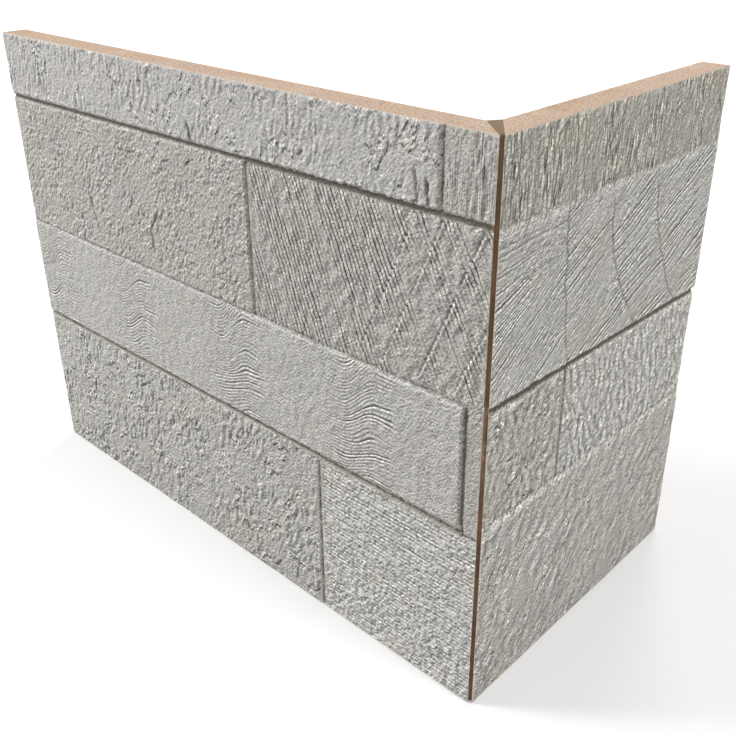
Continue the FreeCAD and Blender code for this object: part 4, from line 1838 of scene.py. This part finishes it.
@dataclass
class JointResin:
    """The resin strip between the two mitres, recessed from the face."""

    long_leaf: Leaf
    short_leaf: Leaf
    resin: bpy.types.Material
    recess: float = 1.9
    step: float = 1.5
    face_points: int = 9
    trough: float = 0.28
    wander: tuple[Waves, ...] = (Waves(9.0, 1 / 1.3, 5, 0.16), Waves(2.6, 0.5, 6, 0.08))

    def build(self) -> bpy.types.Object:
        """Build the strip.

        Its plan runs across the front between the two mitres, back along the short mitre,
        across the back and along the long mitre. The front is a shallow trough whose depth
        wanders with height; the sides lie on the mitre planes.

        Returns:
            The strip as a closed piece.
        """
        long_leaf, short_leaf = self.long_leaf, self.short_leaf
        rows = int(long_leaf.height / self.step)
        up = np.linspace(0.0, long_leaf.height, rows + 1)
        ends = [
            leaf.place(leaf.mitre(depth), 0.0, depth)
            for leaf, depth in (
                (long_leaf, self.recess),
                (short_leaf, self.recess),
                (short_leaf, short_leaf.thickness),
                (long_leaf, long_leaf.thickness),
            )
        ]
        share = np.linspace(0.0, 1.0, self.face_points)[:, None]
        front = ends[0] + (ends[1] - ends[0]) * share
        back = ends[2] + (ends[3] - ends[2]) * share
        plan = np.concatenate([front, back])
        inward = np.array([-1.0, 1.0, 0.0]) / math.sqrt(2.0)
        trough = np.concatenate([np.sin(math.pi * share[:, 0]), np.zeros(self.face_points)])
        across, rising = np.meshgrid(trough, up)
        wander = self.trough + sum(waves.over(rising, across, 0) for waves in self.wander)
        points = plan[None, :, :] + inward * (trough * wander)[..., None] * MM
        points[..., 2] = (up * MM)[:, None] + CORNER[2]
        around = plan.shape[0]
        index = np.arange((rows + 1) * around).reshape(rows + 1, around)
        turned = np.roll(index, -1, axis=1)
        quads = np.stack([index[:-1], turned[:-1], turned[1:], index[1:]], -1).reshape(-1, 4)
        wide = [index[0, ::-1], index[-1]]
        kinds = [0] * len(quads) + [1, 1]
        piece = add_mesh("joint_resin_strip", points.reshape(-1, 3), quads, wide, kinds)
        # The sawn ends, drawn paler: partly their cut surface, partly painted light on the top.
        cut = np.zeros(((rows + 1), around))
        cut[0] = cut[-1] = 1.0
        set_values(piece, "cut", cut)
        piece.data.materials.append(self.resin)
        piece.data.materials.append(self.resin)
        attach(piece, "root")
        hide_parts("mitre_filler")
        return piece


@dataclass(frozen=True)
class Lamp:
    """A soft lamp: its direction from the object, distance, size, strength and colour."""

    name: str
    towards: Triple
    distance: float
    size: float
    power: float
    colour: Triple = WHITE

    def build(self, target: Vector) -> None:
        """Add the lamp as a disc.

        Args:
            target: The point that it faces.
        """
        data = bpy.data.lights.new(self.name, "AREA")
        data.shape = "DISK"
        data.size = self.size
        data.energy = self.power
        data.color = self.colour
        lamp = bpy.data.objects.new(self.name, data)
        direction = Vector(self.towards).normalized()
        lamp.location = target + direction * self.distance
        lamp.rotation_mode = "QUATERNION"
        lamp.rotation_quaternion = direction.to_track_quat("Z", "Y")
        bpy.context.scene.collection.objects.link(lamp)


@dataclass
class Studio:
    """The floor, the world, the lamps and the camera."""

    ambient: float = 0.42
    floor_half: float = 9.0
    floor_near: float = 0.5
    floor_far: float = 2.4
    floor_glow: tuple[float, float] = (0.25, 0.62)
    floor_colour: Triple = (0.86, 0.86, 0.86)
    lamps: tuple[Lamp, ...] = (
        Lamp("key_long_face", (-0.72, -0.56, 0.41), 3.0, 0.8, 60.0),
        Lamp("key_short_face", (0.85, 0.03, 0.52), 3.0, 0.8, 31.0),
        Lamp("fill_back", (-0.3, 0.8, 0.45), 3.0, 1.2, 26.0),
    )
    camera_place: Triple = (0.39702, -0.38279, 0.38674)
    camera_look: Triple = (-0.6090, 0.6532, -0.4499)
    camera_right: Triple = (0.7321, 0.6812, -0.0020)
    focal_pixels: float = 919.447
    centre_pixels: tuple[float, float] = (380.745, 341.936)
    picture: float = 736.0
    sensor: float = 36.0

    def build(self, target: Vector) -> None:
        """Build the studio.

        Args:
            target: The point that the lamps face.
        """
        self.light_world()
        self.lay_floor()
        for lamp in self.lamps:
            lamp.build(target)
        self.set_camera()
        bpy.context.scene.view_settings.view_transform = "Standard"

    def seen(self, sheet: NodeSheet) -> Socket:
        """Tell rays apart.

        Args:
            sheet: The node tree that asks.

        Returns:
            1 for camera, glossy and transmission rays, and 0 for the rest.
        """
        path = sheet.add("LightPath")
        glossy = sheet.math("MAXIMUM", path.outputs["Is Camera Ray"], path.outputs["Is Glossy Ray"])
        return sheet.math("MAXIMUM", glossy, path.outputs["Is Transmission Ray"])

    def light_world(self) -> None:
        """Light the world evenly, and show it white to the camera and to reflections."""
        world = bpy.data.worlds.new("studio")
        world.use_nodes = True
        sheet = NodeSheet(world.node_tree)
        soft = sheet.fed("Background", {"Color": WHITE, "Strength": self.ambient})
        white = sheet.fed("Background", {"Color": WHITE})
        both = sheet.fed("MixShader", {0: self.seen(sheet), 1: soft.outputs[0], 2: white.outputs[0]})
        sheet.fed("OutputWorld", {"Surface": both.outputs[0]})
        bpy.context.scene.world = world

    def lay_floor(self) -> None:
        """Lay a plain white floor that keeps the shadow and stays white far from the lamps."""
        half = self.floor_half
        corners = np.array([[-half, -half, 0], [half, -half, 0], [half, half, 0], [-half, half, 0]])
        floor = add_mesh("studio_floor", corners, np.array([[0, 1, 2, 3]]), [], [1])
        material = bpy.data.materials.new("studio_floor")
        material.use_nodes = True
        sheet = NodeSheet(material.node_tree)
        matt = sheet.fed("BsdfDiffuse", {"Color": self.floor_colour})
        place = sheet.add("TexCoord").outputs["Object"]
        away = sheet.fed("VectorMath", {0: place}, operation="LENGTH").outputs["Value"]
        lift = sheet.ranged(away, self.floor_near, self.floor_far, *self.floor_glow)
        glow = sheet.fed("Emission", {"Strength": sheet.math("MULTIPLY", self.seen(sheet), lift)})
        both = sheet.fed("AddShader", {0: matt.outputs[0], 1: glow.outputs[0]})
        sheet.fed("OutputMaterial", {"Surface": both.outputs[0]})
        floor.data.materials.append(material)
        floor.data.materials.append(material)

    def set_camera(self) -> None:
        """Set the camera where the photograph was taken from.

        The focal length is the focal pixels as a share of the picture, times the sensor, and
        the shift moves the picture's middle to the centre pixels.
        """
        data = bpy.data.cameras.new("photo_camera")
        data.sensor_width = self.sensor
        data.lens = self.focal_pixels / self.picture * self.sensor
        data.shift_x = 0.5 - self.centre_pixels[0] / self.picture
        data.shift_y = self.centre_pixels[1] / self.picture - 0.5
        data.clip_start, data.clip_end = 0.01, 50.0
        camera = bpy.data.objects.new("photo_camera", data)
        back = -Vector(self.camera_look).normalized()
        up = back.cross(Vector(self.camera_right)).normalized()
        right = up.cross(back)
        camera.matrix_world = Matrix.Translation(self.camera_place) @ Matrix(
            (right, up, back)
        ).transposed().to_4x4()
        bpy.context.scene.collection.objects.link(camera)
        bpy.context.scene.camera = camera


# The corner piece


LONG_TOP_SPLIT = SplitFace(
    seed=101,
    grain=Grain(strength=0.14),
    flake_width=2.7,
    flake_height=7.0,
    lift=0.18,
    chips=1.9,
    chips_least=0.15,
    sand=0.95,
    cracks=(
        Crack((199.0, 259.0), (203.0, 275.0), 2.2, 0.9),
        Crack((352.0, 263.0), (354.0, 292.0), 1.2, 0.5),
        Crack((36.0, 262.0), (38.0, 277.0), 2.4, 1.0),
        Crack((42.0, 263.0), (44.5, 281.0), 1.8, 0.8),
    ),
)
LONG_TOP_COMBED = CombedFace(seed=120, pitch=1.1, strength=0.34, needles=0.5, scratches=0.0, lines=1.5)
LONG_UPPER_GRAINY = GrainyFace(
    seed=130,
    grain=Grain(strength=0.2),
    bead=2.0,
    strength=0.3,
    pits=0.35,
    chips=1.3,
    chips_least=0.3,
    sand=1.4,
    cracks=(
        Crack((306.0, 182.0), (316.0, 215.0), 1.3, 0.7),
        Crack((240.0, 215.0), (248.6, 202.0), 1.6, 1.0),
        Crack((248.6, 203.0), (247.3, 186.6), 1.5, 0.9),
        Crack((239.6, 215.0), (241.3, 207.0), 1.3, 0.6),
        Crack((264.9, 220.0), (266.6, 213.0), 1.4, 0.7),
        Crack((274.0, 245.7), (255.0, 246.6), 1.3, 0.7),
        Crack((230.5, 246.6), (222.0, 249.0), 1.5, 0.9),
        Crack((230.5, 246.0), (230.5, 239.7), 1.3, 0.8),
        Crack((208.5, 248.5), (203.0, 252.5), 1.7, 1.0),
    ),
)
LONG_UPPER_RAKED = RakedFace(seed=140, chips=0.6, sand=1.3)
LONG_MIDDLE_RIPPLED = RippledFace(
    seed=150,
    grain=Grain(size=0.9, stretch=1.4),
    sand=1.4,
    patches=(
        RipplePatch(79.0, 1.15),
        RipplePatch(178.0, 1.0),
        RipplePatch(279.0, 0.95),
        RipplePatch(375.0, 0.95),
    ),
)
LONG_MIDDLE_GRAINY = GrainyFace(
    seed=210, grain=Grain(lean=10.0), strength=0.2, pits=0.2, swell=0.15, sand=1.6
)
LONG_FOOT_GRAINY = GrainyFace(
    seed=220,
    grain=Grain(strength=0.2, lean=-24.0),
    bead=2.5,
    stretch=2.2,
    lean=-14.0,
    strength=0.44,
    pits=0.45,
    rims=0.12,
    swell=0.36,
    calm=0.25,
    chips=2.0,
    chips_least=0.25,
    sand=1.5,
    cracks=(
        Crack((330.4, 34.2), (343.4, 26.5), 1.6, 0.75),
        Crack((312.0, 18.8), (322.6, 12.0), 1.4, 0.65),
        Crack((269.0, 91.5), (283.0, 83.5), 1.6, 0.7),
        Crack((379.5, 15.4), (388.9, 10.0), 1.4, 0.6),
        Crack((310.5, 91.0), (327.8, 82.5), 1.5, 0.6),
        Crack((147.0, 12.8), (154.0, 4.0), 2.2, 0.9),
        Crack((130.0, 25.0), (134.0, 4.0), 1.6, 0.7),
    ),
)
LONG_FOOT_PICKED = PickedFace(
    seed=240, grain=Grain(size=1.0, stretch=1.3, strength=0.15), chips=1.0, sand=1.2
)
SHORT_COMBED = CombedFace(
    seed=310,
    grain=Grain(lean=-24.0),
    pitch=1.6,
    strength=0.5,
    needles=0.9,
    lines=2.1,
    faces_right=True,
    chips=0.6,
    sand=0.95,
)
SHORT_SAWN = SawnFace(
    seed=320, grain=Grain(lean=-24.0, stretch=1.3), chips=0.9, chips_least=0.3, sand=1.15
)
SHORT_GRAINY = GrainyFace(
    seed=330,
    grain=Grain(lean=-22.0),
    bead=3.0,
    lean=-22.0,
    strength=0.6,
    pits=0.5,
    swell=0.45,
    calm=0.6,
    chips=1.8,
    sand=1.5,
)
SHORT_SPLIT = SplitFace(
    seed=340,
    grain=Grain(lean=-22.0),
    flake_width=3.1,
    flake_height=7.8,
    lean=-14.0,
    lift=0.38,
    calm=0.7,
    chips=1.2,
    chips_least=0.8,
    sand=1.2,
)
SHORT_WEATHERED = WeatheredFace(
    seed=350, grain=Grain(lean=-24.0, strength=0.14), chips=1.4, chips_least=0.3, sand=1.7
)


def upright(head: float, low: Bed, high: Bed, depth: float, *line: float) -> Grout:
    """Return the grout of a head joint, 3 mm each way, with its open line's depth and width if given."""
    return Grout(head - 3.0, head + 3.0, low, high, depth, *line, upright=True)


@dataclass(frozen=True)
class CornerSizes:
    """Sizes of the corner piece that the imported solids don't say, in millimetres and degrees."""

    bottom_course: float = 107.2
    third_course: float = 69.8
    second_course: float = 85.6
    long_falls: Triple = (2.2, 1.0, 1.9)
    short_falls: Triple = (6.3, 3.4, 0.0)
    short_steps: Triple = (6.6, 0.4, 0.0)
    long_heads: tuple[float, float, float, float] = (29.5, 157.3, 12.0, 110.5)
    short_head: float = 65.4
    long_mitre: tuple[float, float] = (49.5, 1.1)
    short_mitre: tuple[float, float] = (52.0, 1.4)
    long_cell: float = 0.7
    short_cell: float = 0.62

    def beds(self, steps: tuple[float, ...], falls: tuple[float, ...]) -> tuple[Bed, ...]:
        """Lay out a leaf's beds.

        Args:
            steps: How much higher than its course each bed joint is at the corner.
            falls: How far each bed joint falls on its way to the free end.

        Returns:
            The foot, the three bed joints and the head.
        """
        height = (CAD_BOX[1].z - CAD_BOX[0].z) / MM
        courses = accumulate((self.bottom_course, self.third_course, self.second_course))
        joints = (Bed(at + step, at + step - fall) for at, step, fall in zip(courses, steps, falls))
        return (Bed(0.0, 0.0), *joints, Bed(height, height))

    def long_leaf(self) -> Leaf:
        """Lay out the long leaf.

        Returns:
            The leaf with its eight stones, from the top course down, and its grout.
        """
        low_box, high_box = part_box("long_leaf")
        length = (CAD_BOX[1].x - CAD_BOX[0].x) / MM
        beds = self.beds((0.0, 0.0, 0.0), self.long_falls)
        foot, low, middle, high, head = beds
        press, past, end = PRESSING, length + PRESSING.over, -PRESSING.over
        under, over, lap = foot.raised(-press.over), head.raised(press.over), press.lap_under
        half, bed = press.head_joint / 2.0, press.bed_joint / 2.0
        wide, lapped = bed - press.wide_joint, middle.raised(-lap)
        top, second, third, bottom = self.long_heads
        blocks = (
            Block(top + half, past, high.raised(bed), over, 0.45, LONG_TOP_SPLIT, Tint.PALE, ragged=0.8),
            Block(end, top - half, high.raised(bed), over, 1.1, LONG_TOP_COMBED, Tint.WARM),
            Block(second + half, past, lapped, high.raised(-bed), 0.95, LONG_UPPER_GRAINY, Tint.WARM),
            Block(end, second - half, lapped, high.raised(wide), 1.5, LONG_UPPER_RAKED, Tint.WARM),
            Block(
                third + half,
                past,
                low.raised(bed),
                middle,
                0.35,
                LONG_MIDDLE_RIPPLED,
                Tint.SAND,
                ragged=0.45,
                roll=3.0,
                roll_depth=0.3,
            ),
            Block(
                end, third - half, low.raised(-lap), middle.raised(lap), 1.45, LONG_MIDDLE_GRAINY, Tint.WARM
            ),
            Block(bottom + half, past, under, low.raised(-bed), 0.85, LONG_FOOT_GRAINY, Tint.COOL),
            Block(
                end, bottom - half, under, low.raised(wide), 0.9, LONG_FOOT_PICKED, Tint.CHALK, ragged=0.8
            ),
        )
        grouts = (
            upright(top, high.raised(1.5), over, 1.15, 1.9, 0.8),
            upright(second, middle, high.raised(-3.0), 1.5),
            upright(third, low.raised(2.0), middle, 1.5, 1.9, 1.6),
            upright(bottom, foot, low.raised(-1.0), 1.0, 1.9, 0.9),
            Grout(bottom, past, low.raised(-3.0), low.raised(3.0), 1.05, 2.0, 1.1),
            Grout(second, past, high.raised(-2.0), high.raised(1.5), 1.8, 2.4, 1.0),
            Grout(third, bottom, low.raised(-4.0), low.raised(3.0), 1.05, 2.0, 0.9, ticks=0.8),
        )
        along, inward, thickness = (-1.0, 0.0, 0.0), (0.0, 1.0, 0.0), (high_box.y - low_box.y) / MM
        return Leaf(
            "long_leaf",
            along,
            inward,
            length,
            thickness,
            *self.long_mitre,
            beds,
            blocks,
            grouts,
            self.long_cell,
        )

    def short_leaf(self) -> Leaf:
        """Lay out the short leaf.

        Returns:
            The leaf with its five stones, from the top course down, and its grout.
        """
        low_box, high_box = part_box("short_leaf")
        length = (CAD_BOX[1].y - CAD_BOX[0].y) / MM
        beds = self.beds(self.short_steps, self.short_falls)
        foot, low, middle, high, head = beds
        press, past, end = PRESSING, length + PRESSING.over, -PRESSING.over
        under, over = foot.raised(-press.over), head.raised(press.over)
        half, bed = press.head_joint / 2.0, press.bed_joint / 2.0
        third_low, third_high = low.raised(-press.lap_under), middle.raised(bed - press.wide_joint)
        behind = high.raised(-3.0 * press.lap_under)
        blocks = (
            Block(end, past, behind, over, 0.8, SHORT_COMBED, Tint.EARTH, ragged=0.5),
            Block(
                end,
                past,
                middle.raised(bed),
                high,
                0.55,
                SHORT_SAWN,
                Tint.COOL,
                ragged=1.0,
                roll=5.0,
                roll_depth=0.5,
                painted_highlight=0.05,
            ),
            Block(end, self.short_head - half, third_low, third_high, 1.15, SHORT_GRAINY, Tint.OLIVE),
            Block(self.short_head + half, past, third_low, third_high, 1.25, SHORT_SPLIT, Tint.COOL),
            Block(
                end, past, under, low, 0.5, SHORT_WEATHERED, Tint.WARM, roll=4.6, roll_depth=0.7, painted_highlight=0.1
            ),
        )
        grouts = (upright(self.short_head, low.raised(-3.0), middle.raised(-4.0), 1.3),)
        along, inward, thickness = (0.0, 1.0, 0.0), (-1.0, 0.0, 0.0), (high_box.x - low_box.x) / MM
        return Leaf(
            "short_leaf",
            along,
            inward,
            length,
            thickness,
            *self.short_mitre,
            beds,
            blocks,
            grouts,
            self.short_cell,
            # Stronger painted light and shade on the short leaf.
            painted_light_gain=1.6,
            painted_shade_gain=3.6,
        )


def write_sizes() -> None:
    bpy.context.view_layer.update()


def log_piece(piece: bpy.types.Object) -> None:
    """Log a finished piece and its count of faces."""
    log.info("built %s with %d faces", piece.name, len(piece.data.polygons))


def main() -> None:
    """Build the corner piece and its studio in order."""
    logging.basicConfig(level=logging.INFO, format="%(message)s")
    for build_group in (grain_group, emboss_group, rims_group, strokes_group, clouds_group):
        build_group()
    clay, resin = ClayFinish().material(), ResinFinish().material()
    lean = math.radians(GRAIN_LEAN)
    long_stone = StoneFinish("printed_stone_long", (0.0, -lean, 0.0), (-0.25, 0.0, 0.2))
    short_stone = StoneFinish(
        "printed_stone_short", (lean, 0.0, 0.0), (0.0, -0.25, 0.2), painted_grain_light=0.62, stroke_highlight=0.16
    )
    sizes = CornerSizes()
    leaves = (sizes.long_leaf(), sizes.short_leaf())
    for leaf, stone in zip(leaves, (long_stone.material(), short_stone.material())):
        for piece in PressedLeaf(leaf, stone, clay).build():
            log_piece(piece)
    log_piece(JointResin(*leaves, resin).build())
    Studio().build((CAD_BOX[0] + CAD_BOX[1]) / 2.0)
    write_sizes()


if __name__ == "__main__":
    main()
